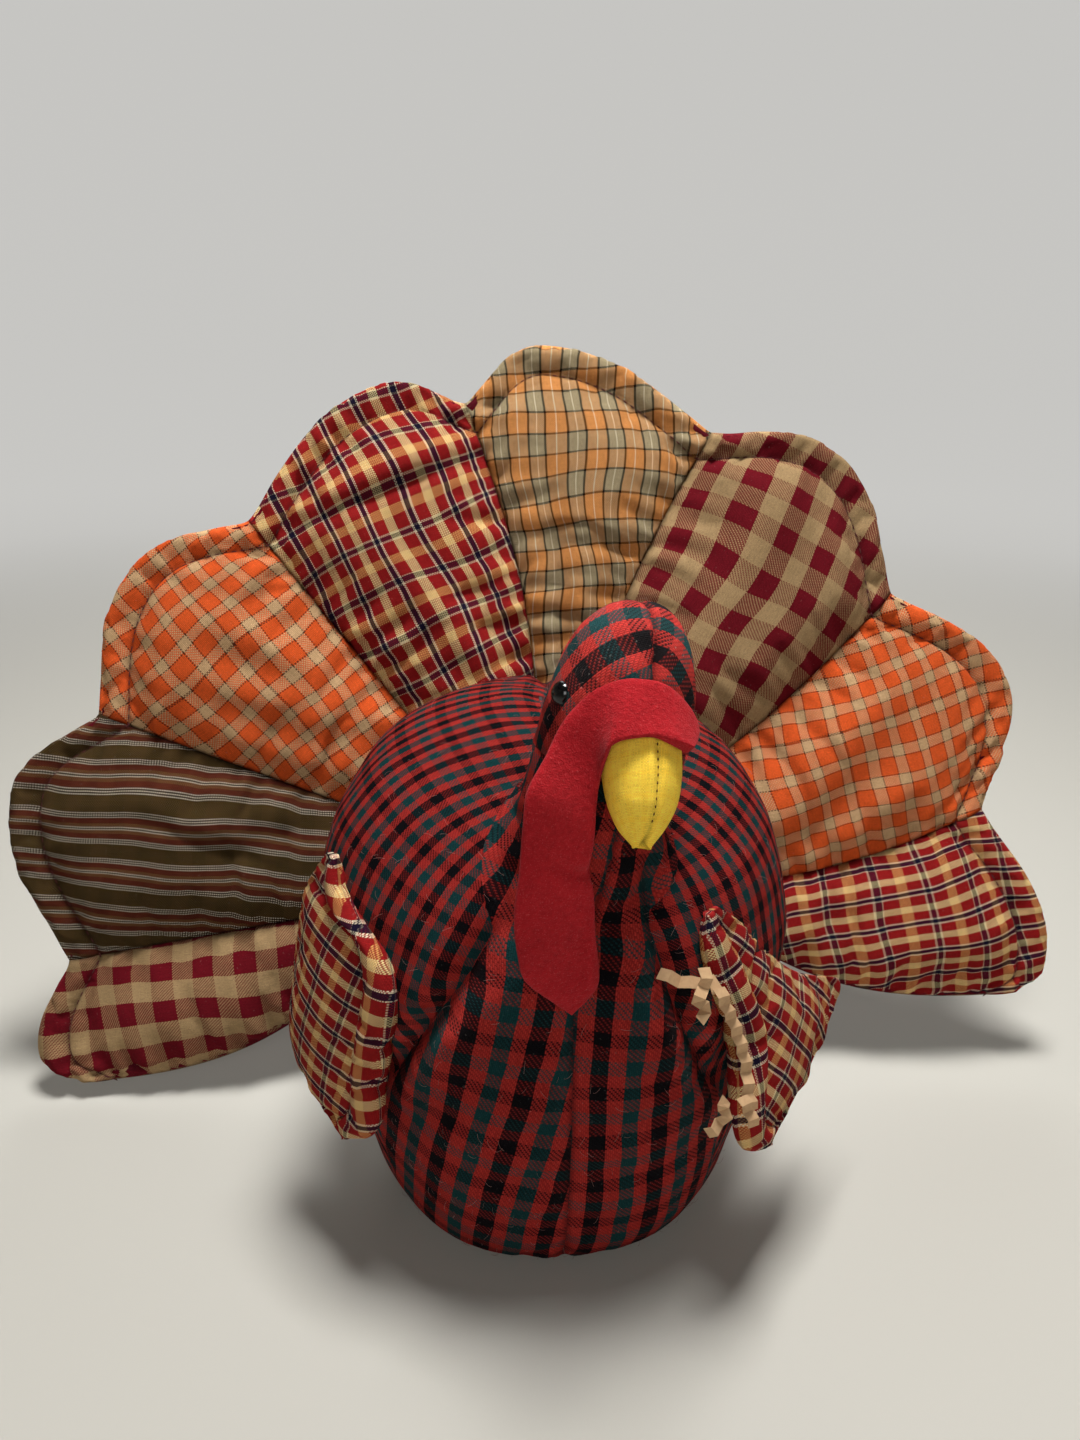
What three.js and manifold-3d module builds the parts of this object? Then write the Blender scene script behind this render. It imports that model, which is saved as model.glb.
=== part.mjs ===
// A stuffed patchwork turkey, sewn from woven check and plaid cotton, that stands on a shelf or table.
// It faces -Y with +Z up. Its own left side is +X. The origin is the middle of the flat base panel.
import * as THREE from 'three';
import { mergeVertices } from 'three/addons/utils/BufferGeometryUtils.js';
import Module from 'manifold-3d';

const wasm = await Module();
wasm.setup();

// Driving dimensions, in millimetres. Angles are in degrees.
const CLOTH = 1.0; // one layer of cotton with its share of the seam allowance
const GAP = 0.3; // air between pieces that lie against each other
const HALF_GAP = GAP / 2;

const TORSO_WIDTH = 142;
const TORSO_DEPTH = 128;
const TORSO_HEIGHT = 162;
const TORSO_HUMP = 30; // how far the top of the back lies behind the middle of the base
const TORSO_SWELL = [0.65, 0.77, 0.84, 0.89, 0.93, 0.97, 1, 0.985, 0.92, 0.76, 0]; // from the base to the top
const TORSO_CROWN = 0.42; // how round the top of the back is

const NECK_ROOT_HEIGHT = 92;
const NECK_ROOT_X = -9;
const NECK_SETBACK = 46; // from the front of the torso at that height back to the neck's root
const NECK_RISE = 88; // from the root to the middle of the head
const NECK_FORWARD = 25; // how far the head lies in front of the root
const NECK_CURVE = 2.35;
const NECK_WIDTH = 36;
const NECK_DEPTH = 38;
const NECK_ROOT_WIDTH = 74;
const NECK_ROOT_DEPTH = 68;
const NECK_FLARE = 3.4; // how quickly the neck narrows above its root
const NECK_TILT = 11; // the neck leans towards the bird's left
const NECK_TURN = 12; // and the face turns that way
const HEAD_CROWN = 30; // dome above the middle of the head

const EYE_DIAMETER = 7;
const EYE_RISE = 4; // above the middle of the head
const EYE_TURN = { left: -2, right: 13 }; // from the side of the head towards the face

const BEAK_WIDTH = 21;
const BEAK_THICKNESS = 20;
const BEAK_LENGTH = 25;
const BEAK_TAPER = 2.2;
const BEAK_HOOK = 4; // how far the tip bends under
const BEAK_DROOP = 48; // below the horizontal
const BEAK_DROP = 4; // base of the beak, below the middle of the head
const BEAK_CLOTH = 0.8;

const FELT = 3; // two layers of felt, glued together
const SNOOD_ARCH = 22; // outer radius of the arch over the beak
const SNOOD_INNER = 8; // the opening that the beak comes through
const SNOOD_RISE = 3; // arch centre, above the base of the beak
const SNOOD_STEP = 12; // arch centre, in front of the base of the beak
const SNOOD_RECLINE = 42; // the arch lies back on the head
const SNOOD_DRAPE = 20; // radius that the arch is bent to, around the beak
const FLAP_WIDTH = 20;
const FLAP_LENGTH = 72;
const FLAP_POINT = 14; // length of the pointed end
const FLAP_CLEAR = 1.5; // between the flap and the side of the beak

const WING_LENGTH = 62; // along the body
const WING_CUP = 260; // radius that the wing is curved to, around the body
const WING_LOFT = 6; // padded thickness in the middle
const WING_EDGE = 3.6; // thickness at the sewn edge
const WING_DROP = { left: 72, right: 86 }; // from the sewn top edge to the tip
// The outline of each wing, from its sewn top edge to its tip in even steps: how far it reaches from the
// middle of its hinge to the front and to the back, as a share of the length.
const WING_FRONT = {
  left: [0.23, 0.29, 0.28, 0.255, 0.23, 0.24, 0.28, 0.3, 0.2],
  right: [0.016, 0.105, 0.464, 0.53, 0.52, 0.51, 0.48, 0.475, 0.29],
};
const WING_BACK = {
  left: [-0.145, 0.05, 0.14, 0.31, 0.51, 0.77, 1, 0.93, 0.23],
  right: [0.048, 0.203, 0.287, 0.326, 0.348, 0.369, 0.371, 0.274, -0.129],
};
// Each wing is sewn on by eye: its height, its place around the body from the side towards the front,
// the way that its face looks, how far it hangs away from the body and how far its back edge is lifted.
const WING_PLACES = {
  left: { height: 124.5, azimuth: 52, yaw: 40, flare: 15, lift: 0 },
  right: { height: 128.5, azimuth: 26, yaw: 36, flare: 8, lift: -3 },
};

const TAIL_LEAN = 20;
const TAIL_HUB_HEIGHT = 76;
const TAIL_TWIST = -8; // the fan is sewn on a little crooked
const PETAL_PITCH = 30.4;
const END_PETAL = { right: 14, left: 22 }; // the two lowest petals are narrower
const HUB_RADIUS = 12;
const VALLEY_RADIUS = 179; // where two petals meet at the edge of the fan
const PETAL_RADIUS = 205; // the longest petal
const PETAL_ROUND = 1.3; // how slowly the edge of a petal rises from its valleys
const PETAL_LOFT = 5; // front cloth and the padding that it is quilted with
const PETAL_EDGE = 1.4;
const TAIL_BATTING = 2.5;
const TAIL_BACKING = 0.9;
// The petals in order, from the bird's right: how far each reaches as a share of the longest, where its
// crest lies between its two seams, and the valley before it as a share of the usual one.
const PETALS = [
  { cloth: 'gingham', share: 0.971, crest: 0.3, valley: 1.05 },
  { cloth: 'stripe', share: 0.973, crest: 0.63, valley: 1.003 },
  { cloth: 'check', share: 0.937, crest: 0.55, valley: 0.986 },
  { cloth: 'plaid', share: 0.959, crest: 0.7, valley: 0.969 },
  { cloth: 'windowpane', share: 1, crest: 0.3, valley: 1.025 },
  { cloth: 'gingham', share: 0.985, crest: 0.45, valley: 1.033 },
  { cloth: 'check', share: 0.99, crest: 0.53, valley: 0.994 },
  { cloth: 'plaid', share: 1, crest: 0.85, valley: 1 },
];
const LAST_VALLEY = 1.1; // the free end of the last petal
// How far each seam between petals bows to the bird's left, halfway out from the hub.
const SEAM_BOWS = [0, 0, 0, 0, 11, -8, 8, 15, 0];

const PAPER_WIDTH = 3.4;
const PAPER_THICKNESS = 0.5;
const PAPER_FOLD = 3.2; // length of one crimp
const PAPER_CRIMP = 1.1; // depth of one crimp

const COLOURS = {
  tartan: '#8f2a24',
  stuffing: '#e8e4da',
  felt: '#a3202c',
  beak: '#e2b21f',
  bead: '#0c0c0d',
  gingham: '#84303a',
  stripe: '#5a4a2e',
  check: '#c9632f',
  plaid: '#8c2730',
  windowpane: '#c28a4e',
  lining: '#7a2a30',
  paper: '#cfa583',
};

// Small helpers

const rad = THREE.MathUtils.degToRad;
const lerp = THREE.MathUtils.lerp;
const at = (x, y, z) => new THREE.Vector3(x, y, z);
const range = (count) => Array.from({ length: count }, (_, i) => i);
const signs = { left: 1, right: -1 };

function material(name) {
  const roughness = name === 'bead' ? 0.12 : 0.9;
  return new THREE.MeshStandardMaterial({ color: COLOURS[name], roughness, metalness: 0 });
}

function piece(name, geometry, cloth) {
  const mesh = new THREE.Mesh(geometry, material(cloth));
  mesh.name = name;
  return mesh;
}

// A closed surface from points and triangles, with its faces turned outwards.
function closedSurface(points, faces) {
  let volume = 0;
  for (let i = 0; i < faces.length; i += 3) {
    const [a, b, c] = [points[faces[i]], points[faces[i + 1]], points[faces[i + 2]]];
    volume += a.dot(b.clone().cross(c));
  }
  const outward = volume < 0 ? faces.toReversed() : faces;
  const geometry = new THREE.BufferGeometry().setFromPoints(points);
  geometry.setIndex(outward);
  return geometry;
}

// Rings of equal count, skinned one to the next, with both ends closed to a point.
function skinRings(rings, first, last) {
  const count = rings[0].length;
  const points = [...rings.flat(), first, last];
  const [firstIndex, lastIndex] = [points.length - 2, points.length - 1];
  const top = (rings.length - 1) * count;
  const faces = [];
  for (const j of range(count)) {
    const k = (j + 1) % count;
    for (const i of range(rings.length - 1)) {
      const [a, b] = [i * count + j, i * count + k];
      faces.push(a, b, b + count, a, b + count, a + count);
    }
    faces.push(firstIndex, k, j, lastIndex, top + j, top + k);
  }
  return closedSurface(points, faces);
}

// A closed solid between two grids of points of the same size.
function slab(front, back) {
  const [rows, columns] = [front.length, front[0].length];
  const points = [...front.flat(), ...back.flat()];
  const index = (layer, r, c) => layer * rows * columns + r * columns + c;
  const faces = [];
  const quad = (a, b, c, d) => faces.push(a, b, c, a, c, d);
  for (const r of range(rows - 1)) {
    for (const c of range(columns - 1)) {
      quad(index(0, r, c), index(0, r, c + 1), index(0, r + 1, c + 1), index(0, r + 1, c));
      quad(index(1, r, c), index(1, r + 1, c), index(1, r + 1, c + 1), index(1, r, c + 1));
    }
  }
  const rim = [
    ...range(columns - 1).map((c) => [0, c]),
    ...range(rows - 1).map((r) => [r, columns - 1]),
    ...range(columns - 1).map((c) => [rows - 1, columns - 1 - c]),
    ...range(rows - 1).map((r) => [rows - 1 - r, 0]),
  ];
  rim.forEach(([r, c], i) => {
    const [r2, c2] = rim[(i + 1) % rim.length];
    quad(index(0, r, c), index(1, r, c), index(1, r2, c2), index(0, r2, c2));
  });
  return closedSurface(points, faces);
}

function toSolid(geometry) {
  const bare = geometry.clone();
  bare.deleteAttribute('normal');
  bare.deleteAttribute('uv');
  const merged = mergeVertices(bare, 1e-4);
  return new wasm.Manifold(
    new wasm.Mesh({
      numProp: 3,
      vertProperties: new Float32Array(merged.attributes.position.array),
      triVerts: new Uint32Array(merged.index.array),
    }),
  );
}

function toGeometry(solid) {
  const mesh = solid.getMesh();
  const geometry = new THREE.BufferGeometry();
  geometry.setAttribute('position', new THREE.BufferAttribute(mesh.vertProperties, 3));
  geometry.setIndex(new THREE.BufferAttribute(mesh.triVerts, 1));
  return geometry;
}

// The half of a sewn form on one side of its centre seam.
function halfOf(solid, side, reach) {
  const box = new THREE.BoxGeometry(reach, 4 * reach, 4 * reach);
  box.translate(signs[side] * (reach / 2 + HALF_GAP), 0, 0);
  return solid.intersect(toSolid(box));
}

// Stuffed forms of stacked oval sections

// How full the torso is at a share of its height, read along a smooth line through its swell.
const swellPoints = TORSO_SWELL.slice(0, -1).map((swell, i) => new THREE.Vector2(i, swell));
const swellLine = new THREE.SplineCurve(swellPoints);

function torsoSwell(share) {
  const last = TORSO_SWELL.length - 1;
  const place = THREE.MathUtils.clamp(share, 0, 1) * last;
  if (place <= last - 1) return swellLine.getPoint(place / (last - 1)).y;
  return TORSO_SWELL[last - 1] * (last - place) ** TORSO_CROWN;
}

// A torso section at a height, taken in by an inset on all sides.
function torsoSection(z, inset = 0) {
  const share = z / (TORSO_HEIGHT - inset);
  const swell = torsoSwell(share);
  const closing = Math.min(1, swell / TORSO_SWELL[0]);
  return {
    centreY: TORSO_HUMP * Math.max(0, share) ** 2,
    halfWidth: (TORSO_WIDTH / 2) * swell - inset * closing,
    halfDepth: (TORSO_DEPTH / 2) * swell - inset * closing,
  };
}

// A neck and head section at a height above the neck's root.
function neckSection(z, inset = 0) {
  const share = Math.min(1, z / NECK_RISE);
  const flare = (1 - share) ** NECK_FLARE;
  const up = Math.max(0, z - NECK_RISE) / (HEAD_CROWN - inset);
  const dome = Math.sqrt(Math.max(0, 1 - up * up));
  return {
    centreY: -NECK_FORWARD * (1 - (1 - share) ** NECK_CURVE),
    halfWidth: (lerp(NECK_WIDTH, NECK_ROOT_WIDTH, flare) / 2 - inset) * dome,
    halfDepth: (lerp(NECK_DEPTH, NECK_ROOT_DEPTH, flare) / 2 - inset) * dome,
  };
}

// The beak's section at a distance along it. Its ridge looks towards +Y.
function beakSection(z, inset = 0) {
  const share = Math.max(0, z / (BEAK_LENGTH - inset));
  const taper = Math.max(0, 1 - share ** BEAK_TAPER) ** 0.62;
  return {
    centreY: -BEAK_HOOK * share * share,
    halfWidth: (BEAK_WIDTH / 2 - inset) * taper,
    halfDepth: (BEAK_THICKNESS / 2 - inset) * taper,
  };
}

function ovalRing({ centreY, halfWidth, halfDepth }, z, sides) {
  return range(sides).map((i) => {
    const turn = (2 * Math.PI * (i + 0.5)) / sides;
    return at(halfWidth * Math.cos(turn), centreY + halfDepth * Math.sin(turn), z);
  });
}

// A solid of oval sections from one height to a rounded top, with rings closer together near the top.
function ovalStack(section, inset, low, high, layers, sides) {
  const top = high - inset;
  const heights = range(layers).map((i) => low + (top - low) * Math.sin((Math.PI / 2) * (i / layers)));
  const rings = heights.map((z) => ovalRing(section(z, inset), z, sides));
  const foot = at(0, section(low, inset).centreY, low);
  const tip = at(0, section(top, inset).centreY, top);
  return toSolid(skinRings(rings, foot, tip));
}

const TORSO_LAYERS = 14;
const TORSO_SIDES = 36;

function torsoSolid(inset, low) {
  return ovalStack(torsoSection, inset, low, TORSO_HEIGHT, TORSO_LAYERS, TORSO_SIDES);
}

// Torso: two side panels sewn along the centre seam, a flat base panel and the stuffing

const torsoShell = torsoSolid(0, 0).subtract(torsoSolid(CLOTH, -CLOTH));

function torsoPanel(side) {
  return piece(`torso_panel_${side}`, toGeometry(halfOf(torsoShell, side, TORSO_WIDTH)), 'tartan');
}

function basePanel() {
  const rim = ovalRing(torsoSection(0, CLOTH + 2 * GAP), 0, TORSO_SIDES);
  const shape = new THREE.Shape(rim.map((p) => new THREE.Vector2(p.x, p.y)));
  const geometry = new THREE.ExtrudeGeometry(shape, { depth: CLOTH, bevelEnabled: false });
  return piece('base_panel', geometry, 'tartan');
}

function torsoStuffing() {
  const room = new THREE.BoxGeometry(TORSO_WIDTH, 2 * TORSO_DEPTH, TORSO_HEIGHT);
  room.translate(0, 0, TORSO_HEIGHT / 2 + CLOTH + GAP);
  const filling = torsoSolid(CLOTH + GAP, -CLOTH).intersect(toSolid(room));
  return piece('torso_stuffing', toGeometry(filling), 'stuffing');
}

// Neck and head, in a frame at the neck's root that leans to the bird's left

const neckFrame = new THREE.Group();
const breast = torsoSection(NECK_ROOT_HEIGHT);
const neckRootY = breast.centreY - breast.halfDepth + NECK_SETBACK;
neckFrame.position.set(NECK_ROOT_X, neckRootY, NECK_ROOT_HEIGHT);
neckFrame.rotation.set(0, rad(NECK_TILT), rad(NECK_TURN), 'ZYX');
neckFrame.updateMatrix();

const NECK_LAYERS = 14;
const NECK_SIDES = 24;
const neckTop = NECK_RISE + HEAD_CROWN;
const neckSolid = (inset) => ovalStack(neckSection, inset, 0, neckTop, NECK_LAYERS, NECK_SIDES);
const torsoInNeckFrame = torsoSolid(-GAP, 0).transform(neckFrame.matrix.clone().invert().toArray());
const headAndAir = neckSolid(-GAP);

function neckPanel(side) {
  const shell = neckSolid(0).subtract(neckSolid(CLOTH)).subtract(torsoInNeckFrame);
  return piece(`neck_panel_${side}`, toGeometry(halfOf(shell, side, NECK_ROOT_WIDTH)), 'tartan');
}

function neckStuffing() {
  return piece('neck_stuffing', toGeometry(neckSolid(CLOTH + GAP).subtract(torsoInNeckFrame)), 'stuffing');
}

function eye(side) {
  const height = NECK_RISE + EYE_RISE;
  const head = neckSection(height);
  const bead = new THREE.SphereGeometry(EYE_DIAMETER / 2, 14, 10);
  const turn = rad(EYE_TURN[side]);
  const x = signs[side] * head.halfWidth * Math.cos(turn);
  bead.translate(x, head.centreY - head.halfDepth * Math.sin(turn), height);
  return piece(`eye_${side}`, toGeometry(toSolid(bead).subtract(headAndAir)), 'bead');
}

// Beak: two panels with a seam along the ridge, and its own stuffing

const beakHeight = NECK_RISE - BEAK_DROP;
const beakFrame = new THREE.Group();
beakFrame.rotation.x = rad(90 + BEAK_DROOP);
const beakRoot = neckSection(beakHeight);
beakFrame.position.set(0, beakRoot.centreY - beakRoot.halfDepth, beakHeight);
beakFrame.updateMatrix();

const BEAK_LAYERS = 9;
const BEAK_SIDES = 16;
const beakBuried = -BEAK_THICKNESS / 2; // the beak's root, inside the head before it is cut off there
const beakSolid = (inset) => ovalStack(beakSection, inset, beakBuried, BEAK_LENGTH, BEAK_LAYERS, BEAK_SIDES);
const headInBeakFrame = headAndAir.transform(beakFrame.matrix.clone().invert().toArray());

function beakPanel(side) {
  const shell = beakSolid(0).subtract(beakSolid(BEAK_CLOTH)).subtract(headInBeakFrame);
  return piece(`beak_panel_${side}`, toGeometry(halfOf(shell, side, BEAK_WIDTH)), 'beak');
}

function beakStuffing() {
  const filling = beakSolid(BEAK_CLOTH + GAP).subtract(headInBeakFrame);
  return piece('beak_stuffing', toGeometry(filling), 'stuffing');
}

// Snood: one felt strip that arches over the beak and hangs down on the bird's right

// The arch sits towards the bird's right, so that the flap below it hangs beside the beak.
const snoodOffset = (BEAK_WIDTH + FLAP_WIDTH - SNOOD_ARCH - SNOOD_INNER) / 2 + FLAP_CLEAR;
const SNOOD_ROWS = 15;
const SNOOD_COLUMNS = 4;
const snoodFrame = new THREE.Group();
snoodFrame.rotation.x = rad(90 - SNOOD_RECLINE);
snoodFrame.position.copy(beakFrame.position).add(at(0, -SNOOD_STEP, SNOOD_RISE));
snoodFrame.updateMatrix();

// A point of the arch: turn runs from the bird's left to its right, share from the inner edge outwards.
function archPoint(turn, share, lift) {
  const end = Math.min(1, turn / 0.45);
  const narrow = 0.45 + 0.55 * Math.sqrt(1 - (1 - end) ** 2);
  const radius = lerp(SNOOD_INNER, SNOOD_ARCH, 0.5 + (share - 0.5) * narrow);
  const x = radius * Math.cos(turn) - snoodOffset;
  return at(x, radius * Math.sin(turn), lift - (x * x) / (2 * SNOOD_DRAPE));
}

function archLayer(lift) {
  return range(SNOOD_ROWS).map((row) => {
    const turn = (Math.PI * row) / (SNOOD_ROWS - 1);
    return range(SNOOD_COLUMNS).map((column) => archPoint(turn, column / (SNOOD_COLUMNS - 1), lift));
  });
}

function snoodBridge() {
  const strip = toSolid(slab(archLayer(FELT), archLayer(0)));
  const intoSnood = snoodFrame.matrix.clone().invert();
  const head = headAndAir.transform(intoSnood.toArray());
  const beak = beakSolid(-GAP).transform(intoSnood.clone().multiply(beakFrame.matrix).toArray());
  return piece('snood_bridge', toGeometry(strip.subtract(head).subtract(beak)), 'felt');
}

// The flap hangs upright from the low end of the arch and looks the way the face does.
const flapFrame = new THREE.Group();
flapFrame.position.copy(archPoint(Math.PI, 0.5, FELT / 2));
flapFrame.position.applyMatrix4(snoodFrame.matrix).applyMatrix4(neckFrame.matrix);
flapFrame.rotation.set(rad(90), 0, rad(NECK_TURN), 'ZYX');

function snoodFlap() {
  const half = FLAP_WIDTH / 2;
  const top = -FELT / 2 - GAP;
  const shape = new THREE.Shape();
  shape.moveTo(-half, top);
  shape.lineTo(-half, FLAP_POINT - FLAP_LENGTH);
  shape.quadraticCurveTo(-half * 0.75, -FLAP_LENGTH + FLAP_POINT / 3, half * 0.15, -FLAP_LENGTH);
  shape.lineTo(half, FLAP_POINT - FLAP_LENGTH);
  shape.lineTo(half, top);
  const geometry = new THREE.ExtrudeGeometry(shape, { depth: FELT, bevelEnabled: false, curveSegments: 5 });
  geometry.translate(0, 0, -FELT / 2);
  return piece('snood_flap', geometry, 'felt');
}

// Wings: an outer cloth, an inner cloth and batting, sewn to the body along the top edge

const WING_ROWS = WING_FRONT.left.length;
const WING_COLUMNS = 7;

// How far the cloth reaches from the middle of the hinge at one share of the drop.
function wingReach(outline, down) {
  const row = Math.min(Math.floor(down * (WING_ROWS - 1)), WING_ROWS - 2);
  return WING_LENGTH * lerp(outline[row], outline[row + 1], down * (WING_ROWS - 1) - row);
}

// A grid of points on the wing, some way off its middle surface. X runs to the back, Y up, Z outwards.
function wingLayer(side, offset) {
  return range(WING_ROWS).map((row) => {
    const down = row / (WING_ROWS - 1);
    return range(WING_COLUMNS).map((column) => {
      const across = (2 * column) / (WING_COLUMNS - 1) - 1;
      const front = -wingReach(WING_FRONT[side], down);
      const x = lerp(front, wingReach(WING_BACK[side], down), (across + 1) / 2);
      const middle = Math.sin(Math.PI * down) * (1 - across * across);
      const z = lerp(WING_EDGE, WING_LOFT, middle) * offset.share + offset.add - (x * x) / (2 * WING_CUP);
      return at(signs[side] * x, -down * WING_DROP[side], z);
    });
  });
}

// Whether a point lies within the torso, or closer to it than the gap.
function touchesTorso(p) {
  if (p.z <= 0 || p.z >= TORSO_HEIGHT + GAP) return false;
  const torso = torsoSection(p.z, -GAP);
  return (p.x / torso.halfWidth) ** 2 + ((p.y - torso.centreY) / torso.halfDepth) ** 2 < 1;
}

// A frame on the wing's sewn edge, moved outwards until the whole wing clears the torso.
function wing(side) {
  const frame = new THREE.Group();
  const hanging = new THREE.Group();
  frame.add(hanging);
  const { height, azimuth, yaw, flare, lift } = WING_PLACES[side];
  const seat = torsoSection(height);
  const turn = rad(azimuth);
  const facing = at(signs[side] * Math.cos(rad(yaw)), -Math.sin(rad(yaw)), 0);
  const outX = signs[side] * seat.halfWidth * Math.cos(turn);
  frame.position.set(outX, seat.centreY - seat.halfDepth * Math.sin(turn), height);
  frame.rotation.set(rad(90), 0, signs[side] * rad(90 - yaw), 'ZYX');
  hanging.rotation.set(-rad(flare), 0, signs[side] * rad(lift));
  const layer = (share, add) => wingLayer(side, { share, add });
  const back = layer(-0.5, 0).flat();
  const inWorld = (p) => hanging.localToWorld(p.clone());
  frame.updateMatrixWorld(true);
  while (back.some((p) => touchesTorso(inWorld(p)))) {
    frame.position.addScaledVector(facing, HALF_GAP);
    frame.updateMatrixWorld(true);
  }
  const outer = slab(layer(0.5, 0), layer(0.5, -CLOTH));
  const inner = slab(layer(-0.5, CLOTH), layer(-0.5, 0));
  const batting = slab(layer(0.5, -CLOTH - GAP), layer(-0.5, CLOTH + GAP));
  hanging.add(piece(`wing_${side}_outer_cloth`, outer, 'plaid'));
  hanging.add(piece(`wing_${side}_inner_cloth`, inner, 'plaid'));
  hanging.add(piece(`wing_${side}_batting`, batting, 'stuffing'));
  return { frame, hanging };
}

// Crimped paper strands, caught along the front edge of the left wing

// A strand follows the wing's edge between two shares of its drop, zigzagging as it goes.
function paperStrand(name, from, to, outward) {
  const folds = Math.round(((to - from) * WING_DROP.left) / PAPER_FOLD);
  const margin = PAPER_WIDTH / 2 + GAP;
  const rows = range(folds + 1).map((i) => {
    const down = lerp(from, to, i / folds);
    const edge = wingReach(WING_FRONT.left, down);
    const crimp = outward + (i % 2 ? PAPER_CRIMP : 0) - (edge * edge) / (2 * WING_CUP);
    return { x: -edge - margin, y: -down * WING_DROP.left, z: crimp };
  });
  const layer = (lift) =>
    rows.map(({ x, y, z }) => [at(x - PAPER_WIDTH / 2, y, z + lift), at(x + PAPER_WIDTH / 2, y, z + lift)]);
  return piece(name, slab(layer(PAPER_THICKNESS), layer(0)), 'paper');
}

function paperStrands() {
  return [
    paperStrand('paper_strand_upper', 0.16, 0.28, 0),
    paperStrand('paper_strand_long', 0.31, 0.68, 0),
    paperStrand('paper_strand_lower', 0.71, 0.86, 0),
  ];
}

// Tail: eight front patches over one sheet of batting, with a lining in two halves behind

const seamAngles = [
  -3 * PETAL_PITCH - END_PETAL.right,
  ...range(7).map((i) => (i - 3) * PETAL_PITCH),
  3 * PETAL_PITCH + END_PETAL.left,
].map((angle) => rad(angle + TAIL_TWIST));

// The outer edge of the fan within one petal, from its first seam to its last.
function petalEdge(petal, share) {
  const { crest, share: reach, valley } = PETALS[petal];
  const next = PETALS[petal + 1]?.valley ?? LAST_VALLEY;
  const rise = share < crest ? share / crest : (1 - share) / (1 - crest);
  const swell = Math.sin((Math.PI / 2) * rise) ** PETAL_ROUND;
  return lerp(VALLEY_RADIUS * (share < crest ? valley : next), reach * PETAL_RADIUS, swell);
}

function fanPoint(radius, angle, lift, margin = 0) {
  const turn = angle + margin / radius;
  return at(radius * Math.sin(turn), radius * Math.cos(turn), lift);
}

const PETAL_ROWS = 7;
const PETAL_COLUMNS = 13;

// A grid over one petal. Its sides stand clear of the seams by a margin.
function petalGrid(petal, lift) {
  const seamAngle = (seam, out, radius) =>
    seamAngles[seam] + (SEAM_BOWS[seam] * Math.sin(Math.PI * out)) / radius;
  return range(PETAL_ROWS).map((row) => {
    const out = row / (PETAL_ROWS - 1);
    return range(PETAL_COLUMNS).map((column) => {
      const across = column / (PETAL_COLUMNS - 1);
      const radius = lerp(HUB_RADIUS, petalEdge(petal, across), out);
      const margin = lerp(HALF_GAP, -HALF_GAP, across);
      const start = seamAngle(petal, out, radius);
      const end = seamAngle(petal + 1, out, radius);
      return fanPoint(radius, lerp(start, end, across), lift(out, across), margin);
    });
  });
}

// The padded front of a petal, full in the middle and drawn in along its seams and edge.
function petalCrown(out, across) {
  const plump = Math.sqrt(Math.sin(Math.PI * across) * Math.sin(Math.PI * out));
  return lerp(PETAL_EDGE, PETAL_LOFT, plump || 0);
}

function tailPatch(petal) {
  const geometry = slab(petalGrid(petal, petalCrown), petalGrid(petal, () => 0));
  return piece(`tail_patch_${petal + 1}`, geometry, PETALS[petal].cloth);
}

// A flat layer behind several petals, given as the shape of its scalloped outline.
function fanLayer(name, petals, front, thickness, cloth) {
  const steps = PETAL_COLUMNS - 1;
  const first = petals[0];
  const last = petals.at(-1);
  const outer = petals.flatMap((petal) =>
    range(steps + 1).map((i) => {
      const angle = lerp(seamAngles[petal], seamAngles[petal + 1], i / steps);
      const margin = petal === first && i === 0 ? HALF_GAP : petal === last && i === steps ? -HALF_GAP : 0;
      return fanPoint(petalEdge(petal, i / steps), angle, 0, margin);
    }),
  );
  const inner = [last, first].map((petal, i) => {
    const angle = seamAngles[i === 0 ? petal + 1 : petal];
    return fanPoint(HUB_RADIUS, angle, 0, i === 0 ? -HALF_GAP : HALF_GAP);
  });
  const hub = fanPoint(HUB_RADIUS, (seamAngles[last + 1] + seamAngles[first]) / 2, 0);
  const outline = [...outer, inner[0], hub, inner[1]].map((p) => new THREE.Vector2(p.x, p.y));
  const shape = new THREE.Shape(outline);
  const geometry = new THREE.ExtrudeGeometry(shape, { depth: thickness, bevelEnabled: false });
  geometry.translate(0, 0, -front - thickness);
  return piece(name, geometry, cloth);
}

// How far behind the base the hub stands, so that the fan just touches the back of the torso.
function tailSeat() {
  const lean = rad(TAIL_LEAN);
  let seat = -Infinity;
  for (const petal of range(PETALS.length)) {
    for (const p of petalGrid(petal, petalCrown).flat()) {
      const z = TAIL_HUB_HEIGHT + p.y * Math.cos(lean) + p.z * Math.sin(lean);
      if (z <= 0 || z >= TORSO_HEIGHT) continue;
      const torso = torsoSection(z);
      const across = p.x / torso.halfWidth;
      if (Math.abs(across) >= 1) continue;
      const back = torso.centreY + torso.halfDepth * Math.sqrt(1 - across * across);
      seat = Math.max(seat, back + GAP - p.y * Math.sin(lean) + p.z * Math.cos(lean));
    }
  }
  return seat;
}

function tail() {
  const frame = new THREE.Group();
  frame.position.set(0, tailSeat(), TAIL_HUB_HEIGHT);
  frame.rotation.x = rad(90 - TAIL_LEAN);
  const all = range(PETALS.length);
  const half = PETALS.length / 2;
  all.forEach((petal) => frame.add(tailPatch(petal)));
  const behind = GAP + TAIL_BATTING + GAP;
  frame.add(fanLayer('tail_batting', all, GAP, TAIL_BATTING, 'stuffing'));
  frame.add(fanLayer('tail_lining_right', all.slice(0, half), behind, TAIL_BACKING, 'lining'));
  frame.add(fanLayer('tail_lining_left', all.slice(half), behind, TAIL_BACKING, 'lining'));
  return frame;
}

// The whole bird

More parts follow.
